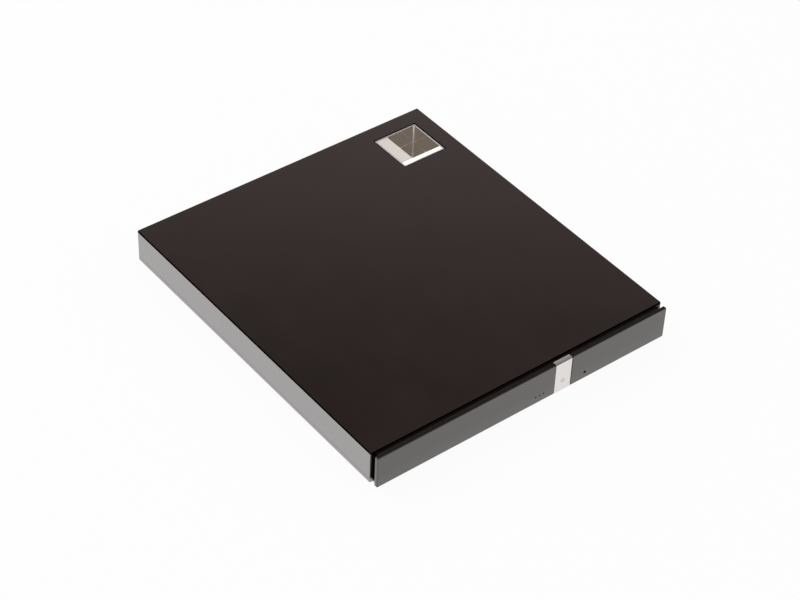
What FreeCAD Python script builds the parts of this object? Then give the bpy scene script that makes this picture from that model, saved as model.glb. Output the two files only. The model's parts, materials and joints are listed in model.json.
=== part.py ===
"""External optical disc burner: a slim tray-loading drive in a two-part casing.

The frame has +Z up, the tray bezel faces -Y, and the origin lies under the middle of the
object, on the surface that its feet stand on. All sizes are millimetres.
"""
import FreeCAD, Part
import os
from math import atan2, cos, degrees, radians, sin

V = FreeCAD.Vector
UP = V(0, 0, 1)

# The disc, and the slim drive that is built round it
DISC_DIAMETER = 120.0
DISC_THICKNESS = 1.2
DISC_HOLE = 15.0
DISC_SIDE_MARGIN = 4.0
DISC_END_MARGIN = 3.0
DISC_SPACE = 4.4
SHEET = 0.6
TRAY_SKIN = 1.2
RIBBON_SPACE = 1.2
BASE_SHEET = 0.4
MECHANISM_HEIGHT = 4.3
LID_EAR_HALF = 3.2
LID_SCREW_RADIUS = 0.8
LID_SCREW_HEAD = 1.45
LID_SCREW_HEAD_HEIGHT = 0.4
LID_PANEL_INSET = 7.0
LID_PANEL_DEPTH = 0.15
LID_FLANGE = 1.2
LID_FLANGE_GAP = 0.05
LID_SCREW_LENGTH = 1.6

# The casing round the drive
WALL = 1.5
FLOOR = 1.2
ROOF = 1.1
SKID_HEIGHT = 0.3
ROOF_GAP = 0.1
SIDE_SPACE = 7.0
REAR_BAY = 28.9
FRONT_SETBACK = 1.45
FOOT_DROP = 1.5
SEAM_HEIGHT = 2.0
SEAM_GAP = 0.1
CORNER_RADIUS = 0.6
EDGE_RADIUS = 0.35
TONGUE = 0.7
TONGUE_RISE = 2.0
LAP_GAP = 0.15
RIB = 1.0
FLOOR_RIB_RISE = 1.2
STOP_WIDTH = 2.0
STOP_DEPTH = 3.0
STOP_RISE = 5.0
GRIP_WIDTH = 1.2
SKID_WIDTH = 3.0

# The bezel, its groove and what shows on it
BEZEL_THICKNESS = 1.5
BEZEL_INSET = 0.4
BEZEL_EDGE_RADIUS = 0.4
BEZEL_END_RADIUS = 0.6
BEZEL_STEP = 0.1
GROOVE = 2.25
LIP_REACH = 2.05
PLUG_INSET = 2.5
PLUG_DEPTH = 3.2
PLUG_WALL = 1.2
PLUG_FROM_FLOOR = 1.7
PLUG_FROM_TOP = 1.6
HOOK_HALF = 3.0
HOOK_THICKNESS = 1.3
BUTTON_X = 18.6
BUTTON_WIDTH = 8.2
BUTTON_GAP = 0.3
BUTTON_DEPTH = 2.2
BUTTON_TRAVEL = 0.5
STEM_RADIUS = 1.2
STEM_HOLE_RADIUS = 1.5
DIMPLE_RADIUS = 1.1
DIMPLE_DEPTH = 0.15
DIMPLE_HEIGHT = 5.1
LAMP_HOLES_X = 6.93
LAMP_HOLE_PITCH = 2.0
LAMP_HOLE_RADIUS = 0.4
LAMP_HOLE_HEIGHT = 3.6
PINHOLE_X = 30.1
PINHOLE_RADIUS = 0.65
PINHOLE_HEIGHT = 3.4

# The mirror well in the roof
WELL_WIDTH = 21.6
WELL_LENGTH = 21.25
WELL_DEPTH = 9.2
WELL_WALL = 0.6
WELL_FROM_SIDE = 8.1
WELL_FROM_BACK = 8.4
WELL_BOTTOM = 0.8
WELL_FIT = 0.15
WELL_FLANGE = 0.7
WELL_FRONT_FLANGE = 0.5
WELL_MOUTH_CHAMFER = 0.25

# Case screws, each behind a rubber foot
BOSS_INSET_X = WALL + 3.4
BOSS_INSET_FRONT = 6.55
BOSS_INSET_BACK = WALL + 3.3
BOSS_RADIUS = 2.4
SOCKET_RADIUS = 3.1
SOCKET_RISE = 2.5
FOOT_RADIUS = 3.6
FOOT_CHAMFER = 0.4
FOOT_FIT = 0.1
FOOT_SEAT = 0.5
CASE_SCREW_RADIUS = 1.0
CASE_SCREW_HEAD = 1.9
CASE_SCREW_HEAD_HEIGHT = 1.45
CASE_SCREW_LENGTH = 8.0
HOLE_FIT = 0.15
PILOT_FIT = 0.02

# Telescoping rails
RAIL_CLEARANCE = 0.1
RAIL_WEB = 0.7
RAIL_FLANGE = 0.5
RAIL_LIP = 0.45
RAIL_LIP_GAP = 0.2
RAIL_FLANGE_HALF = 1.3
RAIL_NECK_HALF = 0.4
RAIL_CHANNEL_HALF = 2.0
RAIL_FRONT_GAP = 13.5
RAIL_BACK_GAP = 2.0

# The disc tray
TRAY_TRAVEL = 126.0
RECESS_CLEARANCE = 0.75
RIM_RISE = 2.9
TRAY_WALL = 1.2
TRAY_END_GAP = 0.8
CONNECTOR_POCKET = 9.0
PLATE_INSET = 1.4
PLATE_RIGHT = 27.5
PLATE_FRONT = 3.5
PLATE_BACK = 26.6
PLATE_FRONT_CUT = 6.0
PLATE_BACK_CUT = 8.0

# The traverse that carries spindle and pickup, laid out along u (outward) and v (across)
TRAVERSE_TURN = 225.0
DECK_HALF_WIDTH = 17.0
DECK_TAIL = 17.0
DECK_POST_RADIUS = 1.1
LENS_WAY = 6.0
DECK_SHEET = 0.4
WINDOW_GAP = 0.8
FRAME_PLATE = 0.8
ROD_SPREAD = 11.5
ROD_RADIUS = 1.0
ROD_START = 10.5
BEARING_HALF = 1.8
SCREW_V = 18.4
LEAD_SCREW_RADIUS = 1.1
LENS_INNER = 24.0
LENS_RADIUS = 1.68
LENS_OFFSET = 2.1
LENS_EDGE_MARGIN = 3.0
LENS_EDGE = 0.7
LENS_DOME = 3.0
HOLDER_HALF = (3.5, 4.5)
HOLDER_DEPTH = 1.7
HOLDER_CORNER = 0.6
SLED_CORNER = 1.5
SLED_FLOOR = 1.3
ACTUATOR_HALF = (5.6, 7.5)
ACTUATOR_MAGNET = (1.4, 3.5)
WAIST_WIDTH = 1.6
WAIST_DEPTH = 1.0
STEPPER_END = -4.0
STEPPER_LENGTH = 11.0
STEPPER_HALF = 4.0
STEPPER_ROUND = 1.3
BELL_RADIUS = 14.0
BELL_WALL = 0.5
MAGNET_RING = 1.4
AIR_GAP = 0.7
STATOR_RADIUS = BELL_RADIUS - BELL_WALL - MAGNET_RING - AIR_GAP
HUB_CLEARANCE = 0.15
SEAT_RISE = 0.9
CLAW_WIDTH = 2.4
CLAW_TRAVEL = 0.6
SHAFT_RADIUS = 1.0
SLEEVE_RADIUS = 2.5
STATOR_TEETH = 9
STATOR_CORE = 1.9
TOOTH_HALF = 0.8
TOOTH_HEAD_HALF = 2.4
TOOTH_HEAD = 1.2
MOTOR_BOARD = 0.6
RUNNING_FIT = 0.04
DAMPER_RADIUS = 2.7
DAMPER_LIP = 0.5
DAMPER_POST_RADIUS = 2.2
DAMPER_SCREW_RADIUS = 1.2
EAR_HOLE_RADIUS = 1.9
EAR_HALF = 3.0
EAR_RISE = 1.0
DAMPER_SCREW_HEAD_HEIGHT = 0.55
DAMPER_SCREW_LENGTH = 3.4

# Latch, ejector and release solenoid
PIN_FROM_SIDE = 19.3
PIN_RADIUS = 1.0
LEVER_THICKNESS = 1.4
LEVER_BOSS_RADIUS = 2.2
LATCH_POST = 1.4
LEVER_ARM_GAP = 0.3
LEVER_ARM = 1.6
LEVER_HOOK_GAP = 0.2
LEVER_HOOK_REACH = 2.6
LEVER_NECK_HALF = 1.3
LEVER_TAIL = 4.7
LEVER_TAIL_WIDTH = 1.4
LEVER_GAP = 0.1
PIVOT_HEAD_RADIUS = 2.0
PIVOT_HEAD_HEIGHT = 0.45
LATCH_SPRING_WIRE = 0.35
PIN_SHANK = 0.7
PIVOT_RADIUS = 1.1
STUD_RADIUS = 0.6
PLUNGER_RADIUS = 1.0
PLUNGER_HALF = 0.4
PLUNGER_DIP = 5.0
EYE_SLOT = 0.5
COIL_BORE = 1.15
COIL_BRACKET = 0.7
COIL_HALF = 3.4
EJECTOR_FIT = 0.1
EJECTOR_WIRE = 0.5
EJECTOR_FROM_SIDE = 10.0
EJECTOR_BORE = 1.6
EJECTOR_WALL = 0.6
EJECTOR_TUBE = 28.0
EJECTOR_DEPTH = 26.0
EJECTOR_LENGTH = 21.6
GUIDE_HALF = 3.0
GUIDE_BEND = 0.8

# Circuit boards and sockets
BOARD = 1.0
BOARD_POST_RADIUS = 1.8
BASE_POST_RADIUS = 2.0
BRIDGE_POST_RADIUS = 2.5
STANDOFF_RADIUS = 1.5
BOARD_SCREW_RADIUS = 0.8
BOARD_SCREW_HEAD = 1.6
BOARD_SCREW_LENGTH = 3.0
BOARD_HOLE_FIT = 0.2
DECK_SCREW_RADIUS = 0.6
PLUG_X = -18.0
PLUG_WIDTH = 36.0
SOCKET_HEIGHT = 3.2
USB_X = -28.0
USB_WIDTH = 7.7
USB_HEIGHT = 3.9
USB_LENGTH = 9.3
USB_SHEET = 0.35
USB_BACK = 0.5
USB_INSET = 0.5
USB_PORT_GAP = 0.35
USB_STEP = 0.9
USB_TONGUE_HALF = 2.6
USB_TONGUE = 0.75
FRONT_BOARD_SPAN = (1.0, 27.0)
FRONT_BOARD_BACK = 9.0
FRONT_PIECES_GAP = 0.4
SWITCH_HALF = 2.9
SWITCH_DEPTH = 3.5
SWITCH_NUB = 0.9
LAMP_SIZE = (3.0, 1.6, 1.1)
RIBBON_SOCKET = 4.0
RIBBON_X = -28.0
RIBBON_WIDTH = 20.0
RIBBON_THICKNESS = 0.15

# Plan positions that follow from those sizes
DRIVE_WIDTH = DISC_DIAMETER + 2 * DISC_SIDE_MARGIN
DRIVE_DEPTH = DISC_DIAMETER + 2 * DISC_END_MARGIN
DRIVE_HALF = DRIVE_WIDTH / 2
PAN_HALF = DRIVE_HALF - SHEET
CASE_HALF = DRIVE_HALF + SIDE_SPACE + WALL
CASE_IN = CASE_HALF - WALL
TOTAL_DEPTH = BEZEL_THICKNESS + GROOVE + FRONT_SETBACK + DRIVE_DEPTH + REAR_BAY + WALL
Y_FRONT = -TOTAL_DEPTH / 2
Y_PLATE = Y_FRONT + BEZEL_THICKNESS
Y_CASE = Y_PLATE + GROOVE
Y_DRIVE = Y_CASE + FRONT_SETBACK
Y_DRIVE_BACK = Y_DRIVE + DRIVE_DEPTH
Y_HUB = Y_DRIVE + DRIVE_DEPTH / 2
Y_BACK = Y_FRONT + TOTAL_DEPTH
Y_TRAY = Y_DRIVE + 0.1
Y_TRAY_BACK = Y_DRIVE_BACK - SHEET - TRAY_END_GAP

# Heights that follow from those sizes
Z_CASE = FOOT_DROP
Z_FLOOR = Z_CASE + FLOOR
Z_DRIVE = Z_FLOOR + SKID_HEIGHT
Z_PAN = Z_DRIVE + SHEET
Z_BASE = Z_PAN + RIBBON_SPACE
Z_MECH = Z_BASE + BASE_SHEET
Z_SKIN = Z_MECH + MECHANISM_HEIGHT
Z_RECESS = Z_SKIN + TRAY_SKIN
Z_RIM = Z_RECESS + RIM_RISE
Z_LID = Z_RECESS + DISC_SPACE
Z_DRIVE_TOP = Z_LID + SHEET
Z_LID_SEAT = Z_DRIVE_TOP - LID_SCREW_HEAD_HEIGHT
Z_ROOF = Z_DRIVE_TOP + ROOF_GAP
Z_TOP = Z_ROOF + ROOF
Z_SEAM = Z_CASE + SEAM_HEIGHT
Z_SOCKET_TOP = Z_SEAM + SOCKET_RISE
Z_BOSS = Z_SOCKET_TOP + SEAM_GAP
Z_SCREW_SEAT = Z_CASE + FOOT_SEAT + CASE_SCREW_HEAD_HEIGHT + 0.1
Z_TRAY_FOOT = Z_MECH - 0.3

# Rail layers, counted inward from the pan's side wall
GUIDE_OUT = PAN_HALF - RAIL_CLEARANCE
GUIDE_IN = GUIDE_OUT - RAIL_WEB
OUTER_FLANGE_OUT = GUIDE_IN - RAIL_CLEARANCE
OUTER_FLANGE_IN = OUTER_FLANGE_OUT - RAIL_FLANGE
GUIDE_LIP_OUT = OUTER_FLANGE_IN - RAIL_CLEARANCE
GUIDE_LIP_IN = GUIDE_LIP_OUT - RAIL_LIP
TRAY_LIP_OUT = GUIDE_LIP_IN - RAIL_LIP_GAP
TRAY_LIP_IN = TRAY_LIP_OUT - RAIL_LIP
INNER_FLANGE_OUT = TRAY_LIP_IN - RAIL_CLEARANCE
INNER_FLANGE_IN = INNER_FLANGE_OUT - RAIL_FLANGE
TRAY_WEB_OUT = INNER_FLANGE_IN - RAIL_CLEARANCE
TRAY_WEB_IN = TRAY_WEB_OUT - RAIL_WEB
Z_RAIL = Z_MECH + RAIL_CHANNEL_HALF
Y_RAIL = Y_TRAY + RAIL_FRONT_GAP
TRAY_TOP_HALF = DISC_DIAMETER / 2 + 0.4

# Traverse levels and reaches
DISC_RADIUS = DISC_DIAMETER / 2
RECESS_RADIUS = DISC_RADIUS + RECESS_CLEARANCE
LENS_OUTER = DISC_RADIUS - LENS_EDGE_MARGIN
PICKUP_TRAVEL = LENS_OUTER - LENS_INNER
Z_FRAME = Z_MECH + 0.2
Z_FRAME_TOP = Z_FRAME + FRAME_PLATE
Z_EAR = Z_FRAME + EAR_RISE
Z_EAR_TOP = Z_EAR + FRAME_PLATE
Z_ROD = Z_FRAME_TOP + 1.2
Z_DECK = Z_RECESS - 0.2 - DECK_SHEET
Z_SEAT = Z_RECESS + SEAT_RISE
SEAT_PAD = 0.3
Z_BELL_TOP = Z_SEAT - SEAT_PAD
Z_BELL = Z_FRAME_TOP + 1.2
Z_DISC_TOP = Z_SEAT + DISC_THICKNESS
Z_HUB_TOP = Z_DISC_TOP + 0.7
SLED_BACK = LENS_INNER - 9.0
SLED_FRONT = LENS_INNER + 7.0
SLED_HALF = 14.0
Z_SLED = Z_MECH + 0.3
Z_SLED_TOP = Z_SLED + 3.7
Z_ACTUATOR = Z_SLED + SLED_FLOOR + 0.3
Z_HOLDER_TOP = Z_RECESS - 0.4
Z_LENS = Z_RECESS - 1.2
FRAME_END = SLED_FRONT + PICKUP_TRAVEL + 2.8
ROD_MOUNT = 2.2
DAMPERS = [(-8.0, -1), (FRAME_END - 20.8, -1), (2.0, 1), (FRAME_END - 16.8, 1)]
EAR_REACH = {-1: -20.5, 1: 24.5}
FRAME_EDGE = {-1: -17.0, 1: 21.0}

# Board and latch positions
Z_LAMP = Z_CASE + LAMP_HOLE_HEIGHT
Z_PINHOLE = Z_CASE + PINHOLE_HEIGHT
Z_DIMPLE = Z_CASE + DIMPLE_HEIGHT
Z_SWITCH = Z_SKIN - 1.3
Y_FRONT_PIECES = Y_TRAY + TRAY_WALL + FRONT_PIECES_GAP
Z_FRONT_BOARD = Z_MECH + 1.0
Z_MAIN_BOARD = Z_MECH + 1.4
Z_SOCKETS = Z_PAN + 2.3
PIN_X = DRIVE_HALF - PIN_FROM_SIDE
PIN_Y = Y_TRAY + 17.5
PIVOT_X = PIN_X + 0.8
PIVOT_Y = PIN_Y - 9.5
Z_LEVER = Z_PAN + 0.7
Z_LEVER_TOP = Z_LEVER + LEVER_THICKNESS
STUD_X = PIVOT_X + 1.3
STUD_Y = PIVOT_Y + 4.5
Z_PLUNGER = Z_LEVER_TOP + 1.2
EJECTOR_X = DRIVE_HALF - EJECTOR_FROM_SIDE
Z_EJECTOR = Z_SKIN - 2.3
WELL_X1 = CASE_HALF - WELL_FROM_SIDE
WELL_X0 = WELL_X1 - WELL_WIDTH
WELL_Y1 = Y_BACK - WELL_FROM_BACK
WELL_Y0 = WELL_Y1 - WELL_LENGTH
BOSS_X = CASE_HALF - BOSS_INSET_X
BOSSES = [(side * BOSS_X, y) for side in (-1, 1)
          for y in (Y_CASE + BOSS_INSET_FRONT, Y_BACK - BOSS_INSET_BACK)]


# Plain shapes

def block(x0, x1, y0, y1, z0, z1):
    return Part.makeBox(x1 - x0, y1 - y0, z1 - z0, V(x0, y0, z0))


def rod(radius, x, y, z0, z1):
    return Part.makeCylinder(radius, z1 - z0, V(x, y, z0))


def rod_y(radius, x, z, y0, y1):
    return Part.makeCylinder(radius, y1 - y0, V(x, y0, z), V(0, 1, 0))


def rod_x(radius, y, z, x0, x1):
    return Part.makeCylinder(radius, x1 - x0, V(x0, y, z), V(1, 0, 0))


def ring(outer, inner, x, y, z0, z1):
    return rod(outer, x, y, z0, z1).cut(rod(inner, x, y, z0, z1))


def plate(points, z0, z1):
    """A flat plate with straight edges through the points."""
    corners = [V(x, y, z0) for x, y in points]
    wire = Part.makePolygon(corners + corners[:1])
    return Part.Face(wire).extrude(V(0, 0, z1 - z0))


def join(*shapes):
    return shapes[0].multiFuse(list(shapes[1:])).removeSplitter()


def less(shape, *tools):
    return shape.cut(list(tools)).removeSplitter()


def group(shapes):
    return Part.makeCompound(list(shapes))


def mirrored(shape):
    return shape.mirror(V(0, 0, 0), V(1, 0, 0))


def picked(shape, chosen):
    """The edges whose end points all pass the test."""
    return [edge for edge in shape.Edges if all(chosen(vertex.Point) for vertex in edge.Vertexes)]


def round_edges(shape, radius, chosen):
    return shape.makeFillet(radius, picked(shape, chosen))


def break_edges(shape, size, chosen):
    return shape.makeChamfer(size, picked(shape, chosen))


def upright(edge):
    ends = [vertex.Point for vertex in edge.Vertexes]
    return abs(ends[0].x - ends[1].x) < 1e-6 and abs(ends[0].y - ends[1].y) < 1e-6


def soft_box(x0, x1, y0, y1, z0, z1, corner, top=0.0, bottom=0.0):
    """A box with rounded upright corners, and rounded top or bottom edges."""
    shape = block(x0, x1, y0, y1, z0, z1)
    shape = shape.makeFillet(corner, [edge for edge in shape.Edges if upright(edge)])
    if top:
        shape = round_edges(shape, top, lambda p: abs(p.z - z1) < 1e-6)
    if bottom:
        shape = round_edges(shape, bottom, lambda p: abs(p.z - z0) < 1e-6)
    return shape


def on_traverse(shape):
    """Turn a shape drawn along u and v to its place in the tray."""
    placed = shape.copy()
    placed.rotate(V(0, 0, 0), UP, TRAVERSE_TURN)
    placed.translate(V(0, Y_HUB, 0))
    return placed


def octagon(radius, x, y, z0, z1):
    """An upright bar with eight sides, for small screws, their posts and their holes, which repeat often."""
    turns = [radians(45 * step) for step in range(8)]
    return plate([(x + radius * cos(turn), y + radius * sin(turn)) for turn in turns], z0, z1)


def screw(x, y, z_seat, head_radius, head_height, radius, length, up=1):
    """A screw whose head stands on z_seat, on its upper side for up = 1."""
    head = octagon(head_radius, x, y, *sorted((z_seat, z_seat + up * head_height)))
    shank = octagon(radius, x, y, *sorted((z_seat, z_seat - up * length)))
    return join(head, shank)


# Casing

def bottom_cover():
    floor = soft_box(-CASE_HALF, CASE_HALF, Y_CASE, Y_BACK, Z_CASE, Z_SEAM, CORNER_RADIUS, bottom=EDGE_RADIUS)
    floor = less(floor, block(-CASE_IN, CASE_IN, Y_CASE, Y_BACK - WALL, Z_FLOOR, Z_SEAM))
    lip = block(-CASE_IN, CASE_IN, Y_CASE - LIP_REACH, Y_CASE + WALL, Z_CASE + BEZEL_STEP, Z_FLOOR)
    button_notch = block(BUTTON_X - BUTTON_WIDTH / 2 - 1, BUTTON_X + BUTTON_WIDTH / 2 + 1,
                         Y_CASE - LIP_REACH, Y_FRONT + BUTTON_DEPTH + BUTTON_TRAVEL + 0.3, Z_CASE, Z_FLOOR)
    cover = join(floor, lip, *seam_tongue(), *floor_ribs(), *drive_seats(), *screw_sockets())
    foot_seats = [rod(FOOT_RADIUS + FOOT_FIT, x, y, Z_CASE, Z_CASE + FOOT_SEAT) for x, y in BOSSES]
    head_wells = [octagon(CASE_SCREW_HEAD + 0.2, x, y, Z_CASE, Z_SCREW_SEAT) for x, y in BOSSES]
    holes = [octagon(CASE_SCREW_RADIUS + HOLE_FIT, x, y, Z_CASE, Z_SOCKET_TOP) for x, y in BOSSES]
    pilots = [octagon(BOARD_SCREW_RADIUS + PILOT_FIT, x, y, Z_FLOOR, Z_SOCKETS) for x, y in bridge_posts()]
    return less(cover, button_notch, *foot_seats, *head_wells, *holes, *pilots)


def seam_tongue():
    """A tongue that laps inside the top cover's walls, on a thicker skirt under the seam."""
    out = CASE_IN - LAP_GAP
    tongue = block(-out, out, Y_CASE + WALL, Y_BACK - WALL - LAP_GAP, Z_FLOOR, Z_SEAM + TONGUE_RISE)
    skirt = block(-CASE_IN, CASE_IN, Y_CASE + WALL, Y_BACK - WALL, Z_FLOOR, Z_SEAM)
    room = block(-out + TONGUE, out - TONGUE, Y_CASE, Y_BACK - WALL - LAP_GAP - TONGUE,
                 Z_FLOOR, Z_SEAM + TONGUE_RISE)
    return less(tongue, room), less(skirt, room)


def floor_ribs():
    """Low ribs that stiffen the floor of the rear bay, and tie its posts to the back wall."""
    front, back = Y_DRIVE_BACK + 1.5, Y_BACK - WALL
    places = [x for x, _ in bridge_posts()] + [(WELL_X0 + WELL_X1) / 2]
    along = [block(x - RIB / 2, x + RIB / 2, front, back, Z_FLOOR, Z_FLOOR + FLOOR_RIB_RISE) for x in places]
    middle = (front + back) / 2
    across = block(-CASE_IN, CASE_IN, middle - RIB / 2, middle + RIB / 2, Z_FLOOR, Z_FLOOR + FLOOR_RIB_RISE)
    return along + [across]


def drive_seats():
    """Two skids that the drive's pan lies on, and the stops behind it."""
    seats = [block(x - SKID_WIDTH / 2, x + SKID_WIDTH / 2, Y_DRIVE + 4, Y_DRIVE_BACK - 4, Z_FLOOR, Z_DRIVE)
             for x in (-DRIVE_HALF + 22, DRIVE_HALF - 22)]
    seats += [block(x - STOP_WIDTH / 2, x + STOP_WIDTH / 2, Y_DRIVE_BACK + 0.2,
                    Y_DRIVE_BACK + 0.2 + STOP_DEPTH, Z_FLOOR, Z_DRIVE + STOP_RISE)
              for x in (PLUG_X - PLUG_WIDTH / 2 - 12, PLUG_X + PLUG_WIDTH / 2 + 10)]
    return seats


def screw_sockets():
    sockets = [octagon(SOCKET_RADIUS, x, y, Z_FLOOR, Z_SOCKET_TOP) for x, y in BOSSES]
    sockets += [octagon(BRIDGE_POST_RADIUS, x, y, Z_FLOOR, Z_SOCKETS - FLOOR) for x, y in bridge_posts()]
    return sockets


def top_cover():
    z0 = Z_SEAM + SEAM_GAP
    shell = soft_box(-CASE_HALF, CASE_HALF, Y_CASE, Y_BACK, z0, Z_TOP, CORNER_RADIUS, top=EDGE_RADIUS)
    shell = less(shell, block(-CASE_IN, CASE_IN, Y_CASE, Y_BACK - WALL, z0, Z_ROOF))
    bosses = [octagon(BOSS_RADIUS, x, y, Z_BOSS, Z_ROOF) for x, y in BOSSES]
    grips = [block(DRIVE_HALF + LAP_GAP, CASE_IN, y - GRIP_WIDTH / 2, y + GRIP_WIDTH / 2, Z_DRIVE + 6, Z_ROOF)
             for y in (Y_HUB - 38, Y_HUB, Y_HUB + 38)]
    gussets = [block(BOSS_X, CASE_IN, y - RIB / 2, y + RIB / 2, Z_BOSS + RIB, Z_ROOF)
               for x, y in BOSSES if x > 0]
    gussets.append(block(BOSS_X - RIB / 2, BOSS_X + RIB / 2, Y_BACK - BOSS_INSET_BACK, Y_BACK - WALL,
                         Z_BOSS + RIB, Z_ROOF))
    ribs = grips + gussets
    cover = join(shell, *bosses, *ribs, *[mirrored(rib) for rib in ribs])
    holes = [octagon(CASE_SCREW_RADIUS + PILOT_FIT, x, y, Z_BOSS, Z_BOSS + 6) for x, y in BOSSES]
    mouth = well_box(WELL_FIT, Z_ROOF, Z_TOP)
    port = usb_outline(USB_PORT_GAP, Y_BACK - WALL, Y_BACK)
    return break_edges(less(cover, mouth, port, *holes), WELL_MOUTH_CHAMFER, at_well_mouth)


def well_box(grow, z0, z1):
    """A block with the well's outline in plan, grown by the same width on each side."""
    return block(WELL_X0 - grow, WELL_X1 + grow, WELL_Y0 - grow, WELL_Y1 + grow, z0, z1)


def at_well_mouth(point):
    return (abs(point.z - Z_TOP) < 1e-6 and WELL_X0 - 1 < point.x < WELL_X1 + 1
            and WELL_Y0 - 1 < point.y < WELL_Y1 + 1)


def mirror_well():
    body = well_box(0.0, Z_TOP - WELL_DEPTH - WELL_BOTTOM, Z_TOP)
    flange = block(WELL_X0 - WELL_FLANGE, WELL_X1 + WELL_FLANGE, WELL_Y0 - WELL_FRONT_FLANGE,
                   WELL_Y1 + WELL_FLANGE, Z_ROOF - WELL_BOTTOM, Z_ROOF)
    return less(join(body, flange), well_box(-WELL_WALL, Z_TOP - WELL_DEPTH, Z_TOP))


def rubber_feet():
    feet = [rod(FOOT_RADIUS, x, y, 0, Z_CASE + FOOT_SEAT) for x, y in BOSSES]
    return group(break_edges(foot, FOOT_CHAMFER, lambda p: abs(p.z) < 1e-6) for foot in feet)


def case_screws():
    return group(screw(x, y, Z_SCREW_SEAT, CASE_SCREW_HEAD, CASE_SCREW_HEAD_HEIGHT, CASE_SCREW_RADIUS,
                       CASE_SCREW_LENGTH, up=-1) for x, y in BOSSES)


# Drive chassis

def ear_places():
    x = PAN_HALF - LID_EAR_HALF
    y0, y1 = Y_DRIVE + LID_EAR_HALF + 0.4, Y_DRIVE_BACK - SHEET - LID_EAR_HALF
    return [(side * x, y) for side in (-1, 1) for y in (y0, y1)]


def drive_pan():
    tub = less(block(-DRIVE_HALF, DRIVE_HALF, Y_DRIVE, Y_DRIVE_BACK, Z_DRIVE, Z_LID),
               block(-PAN_HALF, PAN_HALF, Y_DRIVE, Y_DRIVE_BACK - SHEET, Z_PAN, Z_LID))
    half = LID_EAR_HALF
    ears = [block(x - half, x + half, y - half, y + half, Z_LID - SHEET, Z_LID) for x, y in ear_places()]
    standoffs = [octagon(STANDOFF_RADIUS, x, Y_DRIVE_BACK - 4.9, Z_PAN, Z_SOCKETS - BOARD)
                 for x in connector_posts()]
    pan = join(tub, *ears, *standoffs)
    port = block(PLUG_X - PLUG_WIDTH / 2 - 1, PLUG_X + PLUG_WIDTH / 2 + 1, Y_DRIVE_BACK - SHEET, Y_DRIVE_BACK,
                 Z_SOCKETS - 0.4, Z_SOCKETS + SOCKET_HEIGHT + 0.3)
    holes = [octagon(LID_SCREW_RADIUS + PILOT_FIT, x, y, Z_LID - SHEET, Z_LID) for x, y in ear_places()]
    pin_hole = rod(PIN_SHANK, PIN_X, PIN_Y, Z_DRIVE, Z_PAN)
    return less(pan, port, pin_hole, *holes)


def drive_lid():
    sheet = block(-DRIVE_HALF, DRIVE_HALF, Y_DRIVE, Y_DRIVE_BACK, Z_LID, Z_DRIVE_TOP)
    inner = PAN_HALF - LID_FLANGE_GAP - SHEET
    flanges = [block(x, x + SHEET, Y_DRIVE + 9, Y_DRIVE_BACK - 9, Z_LID - LID_FLANGE, Z_LID)
               for x in (-inner - SHEET, inner)]
    panel = block(-DRIVE_HALF + LID_PANEL_INSET, DRIVE_HALF - LID_PANEL_INSET, Y_DRIVE + LID_PANEL_INSET,
                  Y_DRIVE_BACK - LID_PANEL_INSET, Z_DRIVE_TOP - LID_PANEL_DEPTH, Z_DRIVE_TOP)
    seats = [octagon(LID_SCREW_HEAD + 0.05, x, y, Z_LID_SEAT, Z_DRIVE_TOP) for x, y in ear_places()]
    holes = [octagon(LID_SCREW_RADIUS + PILOT_FIT, x, y, Z_LID, Z_DRIVE_TOP) for x, y in ear_places()]
    return less(join(sheet, *flanges), panel, *seats, *holes)


def lid_screws():
    return group(screw(x, y, Z_LID_SEAT, LID_SCREW_HEAD, LID_SCREW_HEAD_HEIGHT, LID_SCREW_RADIUS,
                       LID_SCREW_LENGTH)
                 for x, y in ear_places())


def rail_strip(x0, x1, y0, y1, half):
    """A strip along the rails, as far above their middle as below."""
    return block(x0, x1, y0, y1, Z_RAIL - half, Z_RAIL + half)


def rail_guide(side):
    """A channel on the pan's side wall that traps the rail's outer flange."""
    y1 = Y_TRAY_BACK - 2
    body = rail_strip(GUIDE_LIP_IN, GUIDE_OUT, Y_TRAY + 3.5, y1, RAIL_CHANNEL_HALF)
    room = rail_strip(GUIDE_LIP_OUT, GUIDE_IN, Y_TRAY, y1, RAIL_FLANGE_HALF + RAIL_CLEARANCE)
    mouth = rail_strip(GUIDE_LIP_IN, GUIDE_LIP_OUT, Y_TRAY, y1, RAIL_NECK_HALF + RAIL_CLEARANCE)
    channel = less(body, room, mouth)
    return channel if side > 0 else mirrored(channel)


def slide_rail(side):
    """An H-shaped strip that runs out half as far as the tray."""
    y1 = Y_TRAY_BACK - RAIL_BACK_GAP
    rail = join(rail_strip(OUTER_FLANGE_IN, OUTER_FLANGE_OUT, Y_RAIL, y1, RAIL_FLANGE_HALF),
                rail_strip(INNER_FLANGE_OUT, OUTER_FLANGE_IN, Y_RAIL, y1, RAIL_NECK_HALF),
                rail_strip(INNER_FLANGE_IN, INNER_FLANGE_OUT, Y_RAIL, y1, RAIL_FLANGE_HALF))
    return rail if side > 0 else mirrored(rail)


# Disc tray and bezel

def base_posts():
    return [(-TRAY_WEB_IN + 5.4, Y_TRAY + 7.5), (-TRAY_WEB_IN + 9.4, Y_HUB + 20.6), (20.0, Y_HUB + 20.6)]


def main_board_posts():
    x0, x1, y0, y1 = main_board_box()
    return [(x0 + 3, y0 + 3), (x1 - 3, y0 + 3)]


def front_board_posts():
    return [(4.0, Y_TRAY + 7.0), (24.0, Y_TRAY + 7.0)]


def main_board_box():
    return -TRAY_WEB_IN + 2.4, PIN_X - 4.7, Y_HUB + 29.6, Y_TRAY_BACK - CONNECTOR_POCKET


def deck_blank(grow, z0, z1):
    """The deck's outline: a strip whose outer end follows the disc's edge."""
    half = DECK_HALF_WIDTH + grow
    strip = block(-DECK_TAIL - grow, DISC_RADIUS, -half, half, z0, z1)
    return strip.common(rod(DISC_RADIUS - 1.2 + grow, 0, 0, z0, z1))


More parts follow.
